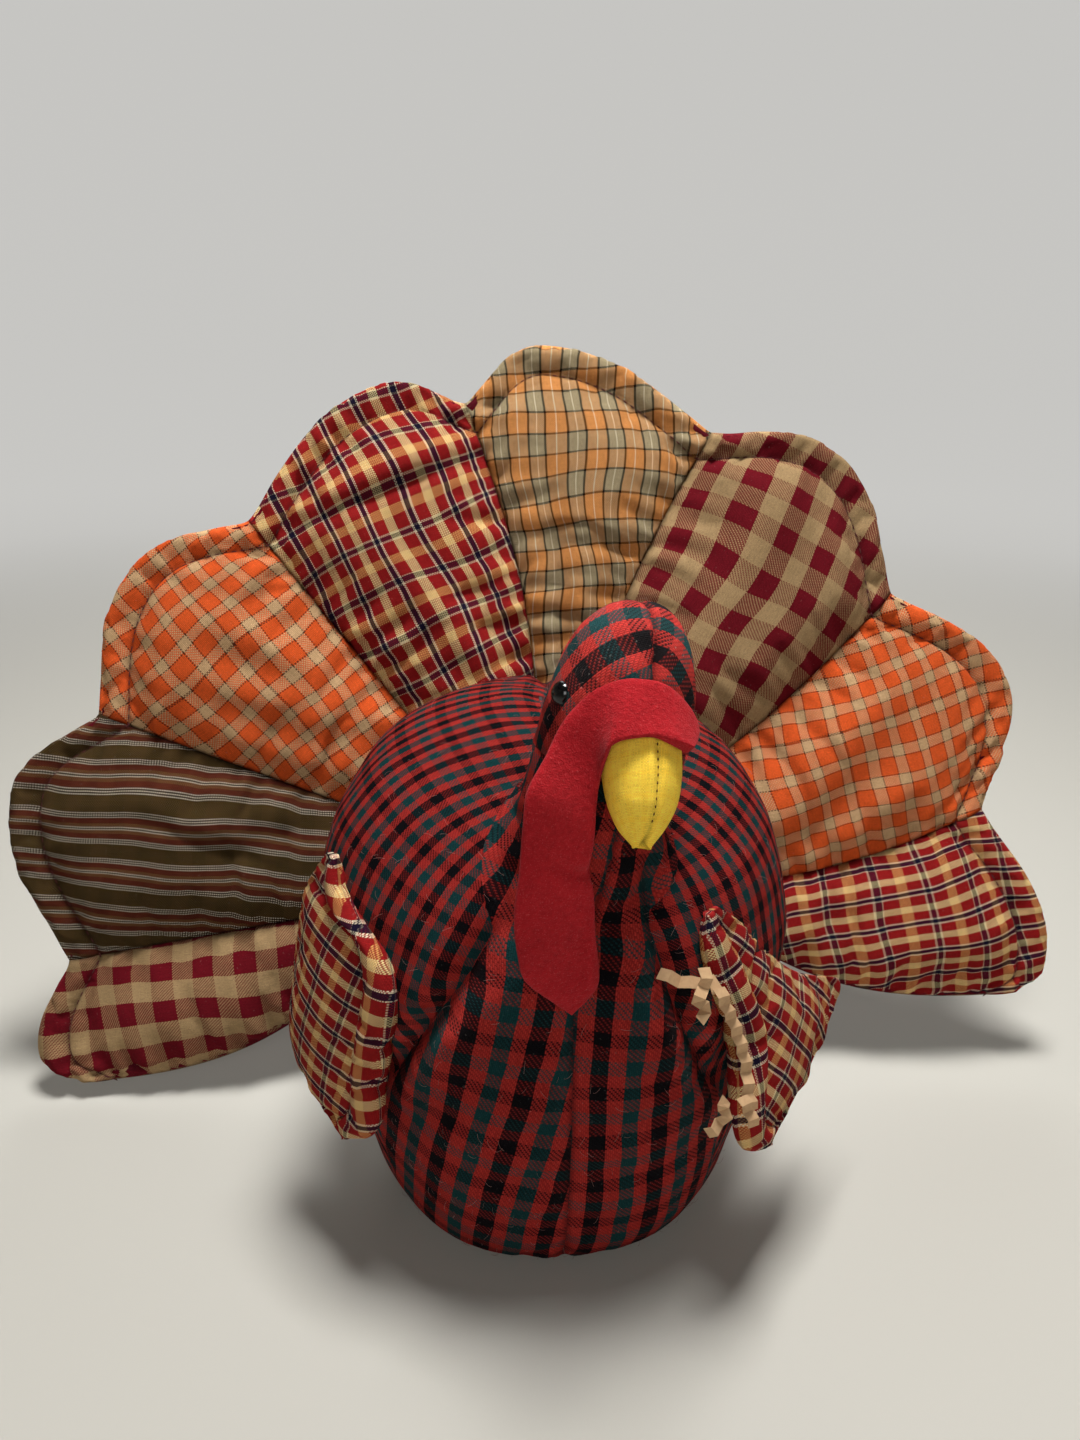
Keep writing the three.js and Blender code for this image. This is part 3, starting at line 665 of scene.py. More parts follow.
def lay_flat(obj):
    """Unwraps the panels and turns each upright on the view that it is seen in."""
    bpy.context.view_layer.objects.active = obj
    obj.select_set(True)
    bpy.ops.object.mode_set(mode="EDIT")
    bpy.ops.mesh.select_all(action="SELECT")
    bpy.ops.uv.unwrap(method="MINIMUM_STRETCH", iterations=12, margin=0.0)
    bpy.ops.object.mode_set(mode="OBJECT")
    obj.select_set(False)
    mesh = obj.data
    mesh.uv_layers.active.name = "cloth"
    layer = mesh.uv_layers["cloth"]
    flat = np.zeros(len(mesh.loops) * 2)
    layer.data.foreach_get("uv", flat)
    flat = flat.reshape(-1, 2)
    corners, places = corners_of(mesh), points_of(obj)
    numbers = islands_of(obj)
    owner = np.repeat(numbers, [p.loop_total for p in mesh.polygons])
    centres = np.array([p.center for p in mesh.polygons]) / MM
    for number in range(numbers.max() + 1):
        chosen, faces = owner == number, numbers == number
        left, head = side_of(centres[faces]).mean() > 0, head_of(centres[faces]).mean() > 0
        front = front_of(centres[faces]).mean() > 0 and not head
        seen = places[corners[chosen]][:, [0 if front else 1, 2]] * [1 if front or left else -1, 1] * MM
        island = flat[chosen] - flat[chosen].mean(0)
        u, _, v = np.linalg.svd(island.T @ (seen - seen.mean(0)))
        if np.linalg.det(u @ v) < 0:
            u[:, 1] *= -1
        island = island @ u @ v * panel_scale(mesh, island @ u @ v, chosen)
        if front:
            flat[chosen] = with_neck(turned(island / MM, FRONT_TURN), places[corners[chosen]])
        elif head:
            flat[chosen] = turned(island / MM, -HEAD_TURN if left else HEAD_TURN)
        else:
            flat[chosen] = turned(island / MM, BACK_TURN if left else -BACK_TURN) * BACK_CLOSER
        print("panel", number, "head" if head else "front" if front else "back", int(faces.sum()), "faces")
    layer.data.foreach_set("uv", flat.astype(np.float32).ravel())


def with_neck(flat, places):
    """The breast's layout, led over at the throat into threads that run straight up the neck."""
    local = in_neck(places)
    centre, radius, _ = neck_section(local)
    round_neck = np.column_stack([radius * np.arctan2(local[:, 0], centre - local[:, 1]), local[:, 2]]) * MM
    weight = eased(places[:, 2], 104, 122)
    joint = np.abs(weight - 0.5) < 0.3
    round_neck += (flat - round_neck)[joint].mean(0)
    return flat + (round_neck - flat) * weight[:, None]


def panel_scale(mesh, island, chosen):
    """How much larger the panel is than its layout, by area."""
    numbers = np.full(len(mesh.loops), -1)
    numbers[chosen] = np.arange(len(island))
    drawn = real = 0
    for polygon in mesh.polygons:
        loops = numbers[list(polygon.loop_indices)]
        if loops[0] >= 0:
            corner = island[loops]
            following = np.roll(corner, -1, 0)
            drawn += abs((corner[:, 0] * following[:, 1] - corner[:, 1] * following[:, 0]).sum()) / 2
            real += polygon.area
    return math.sqrt(real / drawn)


lay_flat(body)
print("panels laid flat")

# %% [markdown]
# The folds are modelled as lines of points on the skin. The skin near a line sinks, and a little further
# off it swells, more on the breast's side, which stands in front. Smaller wrinkles fan out below. Then
# the stuffing runs once, with the seam and the folds held.

# %% Creases of the body
# Each is a depth, a width and a line of places.
CREASES = [
    (6.0, 3.6, [(-14.1, -34.6, 138.5), (-18.7, -41.6, 121.8), (-26.2, -45, 108.6), (-33, -45.2, 97.2),
                (-45.6, -38.4, 78.5), (-51.7, -30, 61.5)]),
    (6.0, 3.6, [(17.6, -43.4, 147.6), (20.2, -38.3, 128), (21.6, -43.8, 115.9), (25.1, -47.4, 102.5),
                (31.2, -47.2, 87.8), (39.3, -42.6, 71.5), (46, -34, 56)]),
    (1.6, 2.6, [(-27.8, -44, 110), (-40.1, -42.3, 89.4), (-50.9, -30.4, 59.3)]),
    (1.4, 2.4, [(-31.2, -44.9, 103), (-45.4, -38.7, 82.9)]),
    (1.6, 2.6, [(25.9, -47.6, 100.6), (36.6, -44.6, 79.5)]),
    (1.4, 2.4, [(27.7, -46.6, 101.9), (38.1, -43.7, 87)]),
]


def beside_line(places, line):
    """How far each place is from a line of points, and how far along the line, as a share, it is nearest."""
    line = np.array(line, float)
    lengths = np.linalg.norm(np.diff(line, axis=0), axis=1)
    gone = length_so_far(line)
    nearest, along = np.full(len(places), np.inf), np.zeros(len(places))
    for start, end, before, length in zip(line[:-1], line[1:], gone, lengths):
        share = np.clip((places - start) @ (end - start) / length ** 2, 0, 1)
        away = np.linalg.norm(places - start - share[:, None] * (end - start), axis=1)
        closer = away < nearest
        nearest[closer] = away[closer]
        along[closer] = ((before + share * length) / gone[-1])[closer]
    return nearest, along


def creased_lift(places):
    """How far the creases sink or swell the skin, and how deep in a crease each place lies."""
    lift, depth_in, front = np.zeros(len(places)), np.zeros(len(places)), front_of(places)
    for depth, width, line in CREASES:
        away, along = beside_line(places, line)
        strength = depth * np.maximum(0, np.sin(math.pi * along)) ** 0.6
        sunk = np.exp(-(away / width) ** 2)
        beside = np.exp(-((away - 2.4 * width) / (1.5 * width)) ** 2)
        lift += strength * (np.where(front > 0, 0.5, 0.05) * beside - sunk)
        depth_in = np.maximum(depth_in, strength / 6 * np.exp(-(away / (0.4 * width)) ** 2))
    return lift, depth_in


SKIN_FULLER, BREAST_FULLER = 1.2, 1.5
places, normals = points_of(body), normals_of(body)
breast = np.exp(-(np.linalg.norm(places - [0, -48, 52], axis=1) / 36) ** 2)
lift = creased_lift(places)[0] + SKIN_FULLER * eased(places[:, 2], 2, 8) + BREAST_FULLER * breast
places = places + normals * lift[:, None]
held = (np.abs(side_of(places)) < 1.4) | (places[:, 2] < 1.5) | (creased_lift(places)[1] > 0.35)
faces = [list(polygon.vertices) for polygon in body.data.polygons]
places = stuffed(places, faces, held, pressure=2.5, spare=0.03, cap=3.5)
move_points(body, places)
print("body stuffed, points held:", int(held.sum()), "of", len(held))

# %% Finish of the body skin
SEAM_DEPTH, SEAM_WIDTH = 0.8, 1.7


def refine(obj, levels):
    divide = obj.modifiers.new("finer", "SUBSURF")
    divide.levels = divide.render_levels = levels
    return applied(obj)


refine(body, 1)
places, normals = points_of(body), normals_of(body)
side = side_of(places)
groove = np.exp(-((side / SEAM_WIDTH) ** 2))
pucker = ripple(places, 9, 3) * np.exp(-((side / 9) ** 2))
lift = -SEAM_DEPTH * groove + 0.4 * pucker + 0.4 * ripple(places, 34, 5)
places = places + normals * lift[:, None]
places[:, 2] = np.maximum(places[:, 2], 0)
move_points(body, places)
body.data.materials.append(tartan)
body.data.shade_smooth()
# Painted shade in the seam groove and down in the deep creases.
crease_shade_mask = np.maximum(np.exp(-((side / 0.9) ** 2)), creased_lift(places)[1])
# Paler cloth where it is worn beside the seam.
rubbed_and_lit = 0.08 * np.exp(-(((np.abs(side) - 3) / 2) ** 2))
# A paler band on the ridge beside each deep crease: rubbed lint with a painted sheen on the ridge.
for _, width, line in CREASES[:2]:
    away, along = beside_line(places, line)
    ridge = np.exp(-((away - 1.6 * width) / 3.5) ** 2) * np.exp(-((along - 0.72) / 0.25) ** 2)
    rubbed_and_lit = np.maximum(rubbed_and_lit, 0.7 * ridge * (0.6 + 0.6 * ripple(places, 12, 8)))
# Paler towards the top of the head: a painted highlight where the top light falls, with its fuzz.
rubbed_and_lit = np.maximum(rubbed_and_lit, 0.75 * eased(places[:, 2], 172, 192))
set_shades(body, creased=crease_shade_mask, worn=np.clip(rubbed_and_lit, 0, 1))
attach(body, "bird")
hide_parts(*BODY_NODES)
print("body skin finished:", len(body.data.polygons), "faces")

# %% [markdown]
# The tail is a fan of eight patches, quilted to a lining along a line of topstitching inside its
# scalloped edge. The outline follows a rule, so a grid over each patch is worked out from it, with one
# row of points exactly on the topstitching. Those points and the seams are pinned and the rest is
# stuffed, so the puckers start at the thread, as they do on the real one.

# %% Layout of the tail
TAIL_PLACE = (0, 69.432, 76)
TAIL_LEAN = math.radians(20)
TAIL_AXES = ((1, 0, 0), (0, math.sin(TAIL_LEAN), math.cos(TAIL_LEAN)),
             (0, -math.cos(TAIL_LEAN), math.sin(TAIL_LEAN)))
SEAM_ANGLES = np.radians([-113.2, -99.2, -68.8, -38.4, -8, 22.4, 52.8, 83.2, 105.2])
SEAM_BOWS = [0, 0, 0, 0, 11, -8, 8, 15, 0]
EDGE_SAGS = [-14, 0, 0, 0, 0, 0, 0, 0, 14]
HUB_RADIUS, VALLEY_RADIUS, PETAL_RADIUS = 12, 179, 205
PETAL_REACH = [0.971, 0.973, 0.937, 0.959, 1, 0.985, 0.99, 1]
PETAL_CREST = [0.3, 0.63, 0.55, 0.7, 0.3, 0.45, 0.53, 0.85]
PETAL_VALLEY = [1.05, 1.003, 0.986, 0.969, 1.025, 1.033, 0.994, 1, 1.1]
PETAL_ROUND = 1.3
TOPSTITCH_IN = 12
SEAM_LIFT, EDGE_LIFT, BACK_LIFT = -0.6, -1.8, -3.2
PATCH_COLUMNS, PATCH_ROWS, BORDER_ROWS = 61, 88, 11
LAST_PETAL = len(PETAL_REACH) - 1
CLOTH_THICKNESS = 0.7


def petal_edge(petal, across):
    crest = PETAL_CREST[petal]
    before = across < crest
    rise = np.where(before, across / crest, (1 - across) / (1 - crest))
    valley = np.where(before, PETAL_VALLEY[petal], PETAL_VALLEY[petal + 1]) * VALLEY_RADIUS
    swell = np.sin(math.pi / 2 * rise) ** PETAL_ROUND
    return valley + (PETAL_REACH[petal] * PETAL_RADIUS - valley) * swell


def petal_grid(petal, columns, rows, border_rows, bowed):
    """Places on one petal, and how far along each is: across, out to the stitching, over the border."""
    across = np.linspace(0, 1, columns)[None, :]
    edge = petal_edge(petal, across)
    out = np.vstack([np.linspace(0, 1, rows)[:, None], np.ones((border_rows, 1))])
    over = np.vstack([np.zeros((rows, 1)), np.linspace(0, 1, border_rows + 1)[1:, None]])
    radius = HUB_RADIUS + (edge - TOPSTITCH_IN - HUB_RADIUS) * out + TOPSTITCH_IN * over
    reach = (radius - HUB_RADIUS) / (edge - HUB_RADIUS)
    bow = bowed * np.sin(math.pi * reach) / radius
    sag = np.sin(math.pi * np.clip((reach - 0.3) / 0.7, 0, 1)) / radius
    start, end = (SEAM_ANGLES[i] + SEAM_BOWS[i] * bow + EDGE_SAGS[i] * sag for i in (petal, petal + 1))
    angle = start + (end - start) * across
    shape = radius.shape
    flat = np.stack([radius * np.sin(angle), radius * np.cos(angle)], -1).reshape(-1, 2)
    return flat, *(np.broadcast_to(a, shape).ravel() for a in (across, out, over))


def free_edge(petal, across, sharpness):
    """1 on the fan's two outer edges, which no seam holds, and soon 0 beside them."""
    return ((petal == 0) * (1 - across) + (petal == LAST_PETAL) * across) ** sharpness


def fan_wave(flat):
    """The slow waves of the whole fan, shared by its front and its lining."""
    return ripple(flat, 130, 21) * 3.0 * (np.linalg.norm(flat, axis=1) / PETAL_RADIUS) ** 2


print("fan spans", np.round(np.degrees(SEAM_ANGLES[[0, -1]])), "degrees")

# %% Tail patches
# Each is a cloth, its slot and how far the patch is turned on it, in degrees.
PATCH_CLOTHS = [
    (gingham, "burgundy_gingham", 84), (stripe, "olive_stripe", 96), (check, "orange_check", 51),
    (plaid, "red_plaid", -25), (windowpane, "tan_windowpane", -2.5), (gingham, "burgundy_gingham", 29),
    (check, "orange_check", -15), (plaid, "red_plaid", 80),
]
# How much closer than written a patch's threads lie, across and along the warp.
CLOSER = {0: (1.15, 1.15), 7: (1.3, 0.95)}
# Where a patch has one deep fold: its two ends in the fan's plane and its depth, in millimetres.
PATCH_FOLDS = {1: [((-150, 25), (-95, 4), 1.6)],
               3: [((-98, 128), (-16, 160), 3.2), ((-86, 96), (-44, 78), 1.5)],
               4: [((-4, 128), (58, 122), 1.6)], 7: [((88, 4), (150, 8), 1.5)]}


def fold_height(flat, start, end, depth, width=4.5):
    """A groove with a raised lip above it, fading out at both ends."""
    start, run = np.array(start), np.subtract(end, start)
    along = (flat - start) @ run / (run @ run)
    away = (flat - start) @ [-run[1], run[0]] / np.linalg.norm(run)
    away = away * np.sign(run[0])
    fade = np.sin(math.pi * np.clip(along, 0, 1)) ** 0.7
    lip = 0.7 * np.exp(-((away - 1.4 * width) / width) ** 2)
    return depth * fade * (lip - np.exp(-(away / (0.55 * width)) ** 2))


def gathers(petal, across, out, over, flat):
    """The small puckers that run away from the seams and the topstitching, and the folds between them."""
    radius = np.linalg.norm(flat, axis=1)
    wide = SEAM_ANGLES[petal + 1] - SEAM_ANGLES[petal]
    arc = across * wide * radius
    from_seam = np.minimum(arc, wide * radius - arc)
    from_stitch = np.where(over > 0, over * TOPSTITCH_IN, (1 - out) * (VALLEY_RADIUS - TOPSTITCH_IN))
    by_seam = ripple(radius[:, None], 11, 40 + petal) * np.exp(-from_seam / 11)
    by_seam *= 1 - np.exp(-from_seam / 1.5)
    by_stitch = ripple(arc[:, None], 10, 60 + petal) * np.exp(-from_stitch / 9)
    by_stitch *= 1 - np.exp(-from_stitch / 1.2)
    folds = ripple(np.column_stack([arc, radius * 0.3]), 24, 80 + petal) * np.sqrt(np.sin(math.pi * across))
    height = 1.6 * by_seam + 1.2 * by_stitch * (1 - over ** 2) + 1.7 * folds * (1 - out ** 8)
    height += sum(fold_height(flat, *fold) for fold in PATCH_FOLDS.get(petal, []))
    return height, from_seam, from_stitch


def patch_piece(petal):
    flat, across, out, over = petal_grid(petal, PATCH_COLUMNS, PATCH_ROWS, BORDER_ROWS, 1)
    free = free_edge(petal, across, 24)
    full = np.sqrt(np.sin(math.pi * across)) * np.sqrt(np.sin(math.pi * out))
    roll = np.sin(math.pi * over) * np.sin(math.pi * np.clip(across, 0.02, 0.98)) ** 0.3
    edge_drop = (EDGE_LIFT - SEAM_LIFT) * np.maximum(over ** 2, free)
    lift = SEAM_LIFT + 3.0 * full * (over == 0) + 3.1 * roll + edge_drop
    local = np.column_stack([flat, lift])
    columns, rows = PATCH_COLUMNS, PATCH_ROWS + BORDER_ROWS
    row, column = np.divmod(np.arange(rows * columns), columns)
    sewn = (column % (columns - 1) == 0) | (row % (rows - 1) == 0) | (row == PATCH_ROWS - 1)
    faces = grid_faces(rows, columns)
    local = stuffed(local, faces, sewn, pressure=6.0, spare=0.05, cap=7)
    puckers, from_seam, from_stitch = gathers(petal, across, out, over, flat)
    local[:, 2] += fan_wave(flat) + puckers * (1 - free)
    cloth, slot, turn_by = PATCH_CLOTHS[petal]
    wander = 1.7 * np.column_stack([ripple(flat, 60, 100 + petal), ripple(flat, 60, 110 + petal)])
    made = new_object(f"tail_patch_{petal + 1}_cloth", placed(local, TAIL_PLACE, *TAIL_AXES), faces, cloth,
                      turned(flat + wander, turn_by) * CLOSER.get(petal, 1))
    # Painted shade along the seams and the topstitching; the rolled border is paler where it is worn.
    thread_shade = np.maximum(np.exp(-(from_seam / 0.9) ** 2), 0.95 * np.exp(-(from_stitch / 1.0) ** 2))
    set_shades(made, creased=thread_shade, worn=0.5 * eased(over, 0.8, 1.0))
    thicken(made, CLOTH_THICKNESS)
    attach(made, "tail_body")
    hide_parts(f"tail_patch_{petal + 1}")
    print(made.name, "rises to", round(float(local[:, 2].max()), 1), "mm")
    return local[row == PATCH_ROWS - 1]


topstitch_lines = [patch_piece(petal) for petal in range(len(PATCH_CLOTHS))]

# %% Tail lining
LINING_COLUMNS, LINING_ROWS, LINING_BORDER, LINING_INSET = 31, 48, 6, 1.2


def lining_piece(name, petals, nodes):
    points, faces, sewn, start = [], [], [], 0
    for petal in petals:
        flat, across, out, over = petal_grid(petal, LINING_COLUMNS, LINING_ROWS, LINING_BORDER, 0)
        flat = flat * (1 - LINING_INSET / np.maximum(np.linalg.norm(flat, axis=1), 60))[:, None]
        free = free_edge(petal, across, 20)
        edge_rise = (EDGE_LIFT - BACK_LIFT) * np.maximum(over ** 2, free)
        lift = BACK_LIFT - 1.2 * np.sin(math.pi * over) + edge_rise
        lift -= 1.6 * np.sin(math.pi * out) ** 0.5 * (over == 0) * (1 - free)
        points.append(np.column_stack([flat, lift]))
        rows = LINING_ROWS + LINING_BORDER
        row, column = np.divmod(np.arange(rows * LINING_COLUMNS), LINING_COLUMNS)
        first_side = (petal == petals[0]) & (column == 0)
        last_side = (petal == petals[-1]) & (column == LINING_COLUMNS - 1)
        sewn.append((row % (rows - 1) == 0) | (row == LINING_ROWS - 1) | first_side | last_side)
        faces += grid_faces(rows, LINING_COLUMNS, False, start, True)
        start += rows * LINING_COLUMNS
    points, sewn = np.vstack(points), np.concatenate(sewn)
    merged, index = np.unique(np.round(points, 3), axis=0, return_inverse=True)
    index = index.ravel()
    held = np.zeros(len(merged), bool)
    held[index[sewn]] = True
    faces = [[int(index[i]) for i in f] for f in faces]
    local = stuffed(merged.copy(), faces, held, pressure=1.5, spare=0.03, cap=3)
    flat = local[:, :2].copy()
    local[:, 2] += fan_wave(flat)
    made = new_object(name, placed(local, TAIL_PLACE, *TAIL_AXES), faces, lining_cloth, flat * MM)
    set_shades(made, creased=np.zeros(len(local)), worn=np.zeros(len(local)))
    thicken(made, CLOTH_THICKNESS)
    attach(made, "tail_body")
    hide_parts(*nodes)
    print(made.name, len(local), "points")


lining_piece("tail_lining_right_cloth", [0, 1, 2, 3], ["tail_lining_right", "tail_batting"])
lining_piece("tail_lining_left_cloth", [4, 5, 6, 7], ["tail_lining_left"])

# %% [markdown]
# Each wing is a three-cornered leaf of the plaid with a full roll along its front edge, where the cloth is
# folded round and topstitched. The outline is read off at nine heights and smoothed. Front and back are one
# closed mesh, and the stuffing presses on all of it while the seam and the topstitching hold. The roll is
# folded from another part of the cloth, so its corners get a layout of their own.

# %% Wings
WING_CUP, WING_BORDER = 520, 13
WING_ROWS, WING_ROLL_COLUMNS, WING_LEAF_COLUMNS = 77, 13, 44
WING_CLOSER, ROLL_GAP = 1.3, -5
WINGS = {
    "left": dict(
        sign=1, drop=78, back_cup=0, place=(46.202, -34.104, 124.5), turn=-38, roll_turn=84,
        front=[14.3, 18.0, 17.4, 15.8, 14.3, 14.9, 17.4, 18.6, 12.4],
        back=[-9.0, 2.5, 9.5, 18.5, 29.5, 46, 66, 41, 6],
        axes=((0.6428, 0.7660, 0), (-0.1983, 0.1664, 0.9659), (0.7399, -0.6209, 0.2588))),
    "right": dict(
        sign=-1, drop=86, back_cup=1, place=(-66.822, -12.696, 128.5), turn=73, roll_turn=90,
        front=[1.0, 6.5, 28.8, 32.9, 32.2, 31.6, 29.8, 29.5, 18.0],
        back=[3.0, 12.6, 17.8, 20.2, 21.6, 22.9, 23.0, 17.0, -8.0],
        axes=((0.5929, -0.8036, 0.0518), (0.0817, 0.1240, 0.9889), (-0.8011, -0.5821, 0.1392))),
}


def pillow_faces(rows, columns, flip):
    """The faces of a front grid, of a back grid stored after it, and of the rim between them."""
    count = rows * columns
    edge = [*range(columns), *(r * columns + columns - 1 for r in range(1, rows)),
            *((rows - 1) * columns + c for c in range(columns - 2, -1, -1)),
            *(r * columns for r in range(rows - 2, 0, -1))]
    rim = [[b, a, a + count, b + count] for a, b in zip(edge, edge[1:] + edge[:1])]
    faces = grid_faces(rows, columns) + grid_faces(rows, columns, False, count, True) + rim
    return [f[::-1] for f in faces] if flip else faces


def smooth_edge(reaches, down):
    """A smooth edge through reaches that were read off at even steps."""
    fine = np.linspace(0, 1, 401)
    edge = np.interp(fine, np.linspace(0, 1, len(reaches)), reaches)
    for _ in range(500):
        edge[1:-1] = (edge[:-2] + 2 * edge[1:-1] + edge[2:]) / 4
    return np.interp(down, fine, edge)


def wing_layout(front, back, drop):
    """Flat places on the wing, row by row, and how full it is there: a roll in front, then the leaf."""
    down = np.linspace(0, 1, WING_ROWS)[:, None]
    ahead, behind = -smooth_edge(front, down), smooth_edge(back, down)
    tips = np.sqrt(1 - np.clip((down - 0.91) / 0.0905, 0, 1) ** 2)
    middle, half = (ahead + behind) / 2, (behind - ahead) / 2 * tips
    border = np.minimum(WING_BORDER, half)
    roll = np.linspace(0, 1, WING_ROLL_COLUMNS)[None, :]
    leaf = np.linspace(0, 1, WING_LEAF_COLUMNS + 1)[None, 1:]
    x = np.hstack([middle - half + border * roll, middle - half + border + (2 * half - border) * leaf])
    ends = np.sin(math.pi * np.clip(down, 0.01, 0.99)) ** 0.4
    swell = np.hstack([3.8 * np.sqrt(np.maximum(0, 1 - (2 * roll - 1) ** 2)) * ends,
                       1.8 * np.sin(math.pi * leaf) ** 0.6 * ends])
    flat = np.stack([x, np.broadcast_to(-down * drop, x.shape)], -1).reshape(-1, 2)
    return flat, swell.ravel()


def wing_piece(side, sign, drop, back_cup, place, axes, turn, roll_turn, front, back):
    flat, swell = wing_layout(front, back, drop)
    columns = WING_ROLL_COLUMNS + WING_LEAF_COLUMNS
    bend = -flat[:, 0] ** 2 / WING_CUP * np.where(flat[:, 0] < 0, 1, back_cup)
    halves = [np.column_stack([flat[:, 0] * sign, flat[:, 1], bend + s * (0.5 + swell)]) for s in (1, -1)]
    local = np.vstack(halves)
    row, column = np.divmod(np.arange(len(flat)), columns)
    stitched = column == WING_ROLL_COLUMNS - 1
    rim = (row % (WING_ROWS - 1) == 0) | (column == columns - 1)
    faces = pillow_faces(WING_ROWS, columns, sign > 0)
    local = stuffed(local, faces, np.tile(rim | stitched, 2), pressure=5.0, spare=0.04, cap=3)
    made = new_object(f"wing_{side}_pad", placed(local, place, *axes), faces, plaid)
    in_roll = np.tile(column < WING_ROLL_COLUMNS, 2)
    owner = np.repeat([all(in_roll[p] for p in f) for f in faces], [len(f) for f in faces])
    corners = corners_of(made.data)
    edge, height = flat[column == 0, 0][row], flat[:, 1]
    round_edge = [np.column_stack([edge + s * WING_CLOSER * (flat[:, 0] - edge) + gap, height])
                  for s, gap in ((1, 0), (-1, ROLL_GAP))]
    on_leaf = np.tile(turned(flat * WING_CLOSER, turn), (2, 1))
    on_roll = turned(np.vstack(round_edge), roll_turn)
    set_flat(made.data, np.where(owner[:, None], on_roll[corners], on_leaf[corners]))
    from_stitch = flat[:, 0] - flat[stitched, 0][row]
    # Painted shade along the topstitching; the rim is paler where it is worn.
    by_stitch = 0.9 * np.exp(-(from_stitch / 0.8) ** 2)
    set_shades(made, creased=np.tile(by_stitch, 2), worn=np.tile(rim * 0.5, 2))
    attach(made, f"wing_{side}_body")
    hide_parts(*(f"wing_{side}_{part}" for part in ("outer_cloth", "inner_cloth", "batting")))
    print(made.name, "is", round(float(np.ptp(local[:, 2])), 1), "mm deep with its cup")
    return local[: len(flat)][stitched]


wing_lines = {side: wing_piece(side, **facts) for side, facts in WINGS.items()}

# %% [markdown]
# The beak is a small cone of yellow cotton in two halves. Its seam runs along the ridge, and its tip is
# tucked in by hand, which leaves a flat end with a cleft. It is a loft: rings that shrink along a curve.

# %% Beak
BEAK_PLACE = (15.82, -47.66, 174.46)
BEAK_AXES = ((0.9602, 0.2041, -0.1908), (0.2794, -0.7004, 0.6568), (0.0004, -0.6840, -0.7295))
BEAK_WIDTH, BEAK_THICKNESS, BEAK_LENGTH, BEAK_HOOK = 21, 20, 25, -4
BEAK_TIP_HALF, BEAK_CLEFT, BEAK_ROOT = 2.6, 1.6, 5
BEAK_ROWS, BEAK_COLUMNS = 44, 96


def beak_points():
    share = np.linspace(0, 1, BEAK_ROWS)[:, None]
    around = np.linspace(0, 2 * math.pi, BEAK_COLUMNS, endpoint=False)[None, :]
    taper = np.maximum(1 - share ** 3, 0) ** 0.75
    half = np.hypot(BEAK_WIDTH / 2 * taper, BEAK_TIP_HALF * share ** 4)
    thick = np.hypot(BEAK_THICKNESS / 2 * taper, 0.9 * share ** 4)
    seam = np.exp(-(np.cos(around) * half / 0.9) ** 2)
    shoulder = np.exp(-((np.abs(np.cos(around) * half) - 2.0) / 1.2) ** 2)
    swell = 1 - (0.05 * seam - 0.035 * shoulder) * taper
    x = half * np.cos(around) * swell
    y = thick * np.sin(around) * swell + BEAK_HOOK * share ** 2
    cleft = BEAK_CLEFT * np.exp(-(x / 1.1) ** 2) * share ** 9
    along = BEAK_LENGTH * share - BEAK_ROOT * (1 - share) ** 3 - cleft
    arc = around * 10 * np.ones_like(share)
    return [np.broadcast_to(a, x.shape).ravel() for a in (x, y, along, arc, share, seam)]


x, y, along, arc, share, seam = beak_points()
local = np.column_stack([x, y, along])
local[:, 1] += 0.25 * ripple(local, 6, 11) * share
tip = list(range((BEAK_ROWS - 1) * BEAK_COLUMNS, BEAK_ROWS * BEAK_COLUMNS))
root = list(range(BEAK_COLUMNS))[::-1]
faces = grid_faces(BEAK_ROWS, BEAK_COLUMNS, True) + [tip, root]
beak = new_object("beak_pad", placed(local, BEAK_PLACE, *BEAK_AXES), faces, beak_cotton,
                  np.column_stack([arc, along]) * MM)
# Painted shade along the seams and in the cleft of the tip. The whole beak is lightened by a quarter, which
# offsets the painted thread shade and stands in for the light that the snood keeps off.
cleft_shade = np.exp(-(x / 0.7) ** 2) * share ** 14
set_shades(beak, creased=np.clip(seam * 0.35 + cleft_shade, 0, 1), worn=np.full(len(local), 0.25))
ridge = local[np.abs(np.arctan2(y - BEAK_HOOK * share ** 2, x) - math.pi / 2) < 0.02][6:-8]
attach(beak, "bird")
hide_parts("beak_panel_left", "beak_panel_right", "beak_stuffing")
print("beak:", len(beak.data.polygons), "faces")

# %% [markdown]
# The snood is one strip of thick red felt that arches over the beak and hangs down beside it. Felt has no
# threads: its fibres lie every way, so its material is layered noise, and its cut edge is soft and round.
# The strip is swept between two rails, an inner and an outer edge, and bends where the hanging end swings.

# %% Felt
felt, tree, shader = new_material(
    "red_felt", 0.95, Sheen_Weight=0.05, Sheen_Roughness=0.5, Specular_IOR_Level=0.05)
place = tree.object_place()
fibres = tree.noise(place, 2600.0, 3.0)
tufts = tree.noise(place, 700.0, 4.0)
clouds = tree.noise(place, 60.0, 3.0)
shade = (0.45 + fibres * 0.5 + tufts * 0.6) * (0.8 + clouds * 0.4)
colour = tree.node("ShaderNodeRGB")
colour.socket.default_value = srgb(164, 30, 36)
colour = tree.node("ShaderNodeVectorMath", {0: colour, "Scale": shade}, operation="SCALE")
# Pale fibres: partly the felt's own lighter fibres, partly a painted sheen of its fuzz.
pale = fibres.eased(0.58, 0.76) * 0.28
colour = pale.mixed(colour, srgb(206, 112, 112))
finish_material(tree, shader, colour, 0.86 + fibres * 0.14, fibres + tufts * 1.4, 0.45 * MM, 0.8)
print("felt ready")

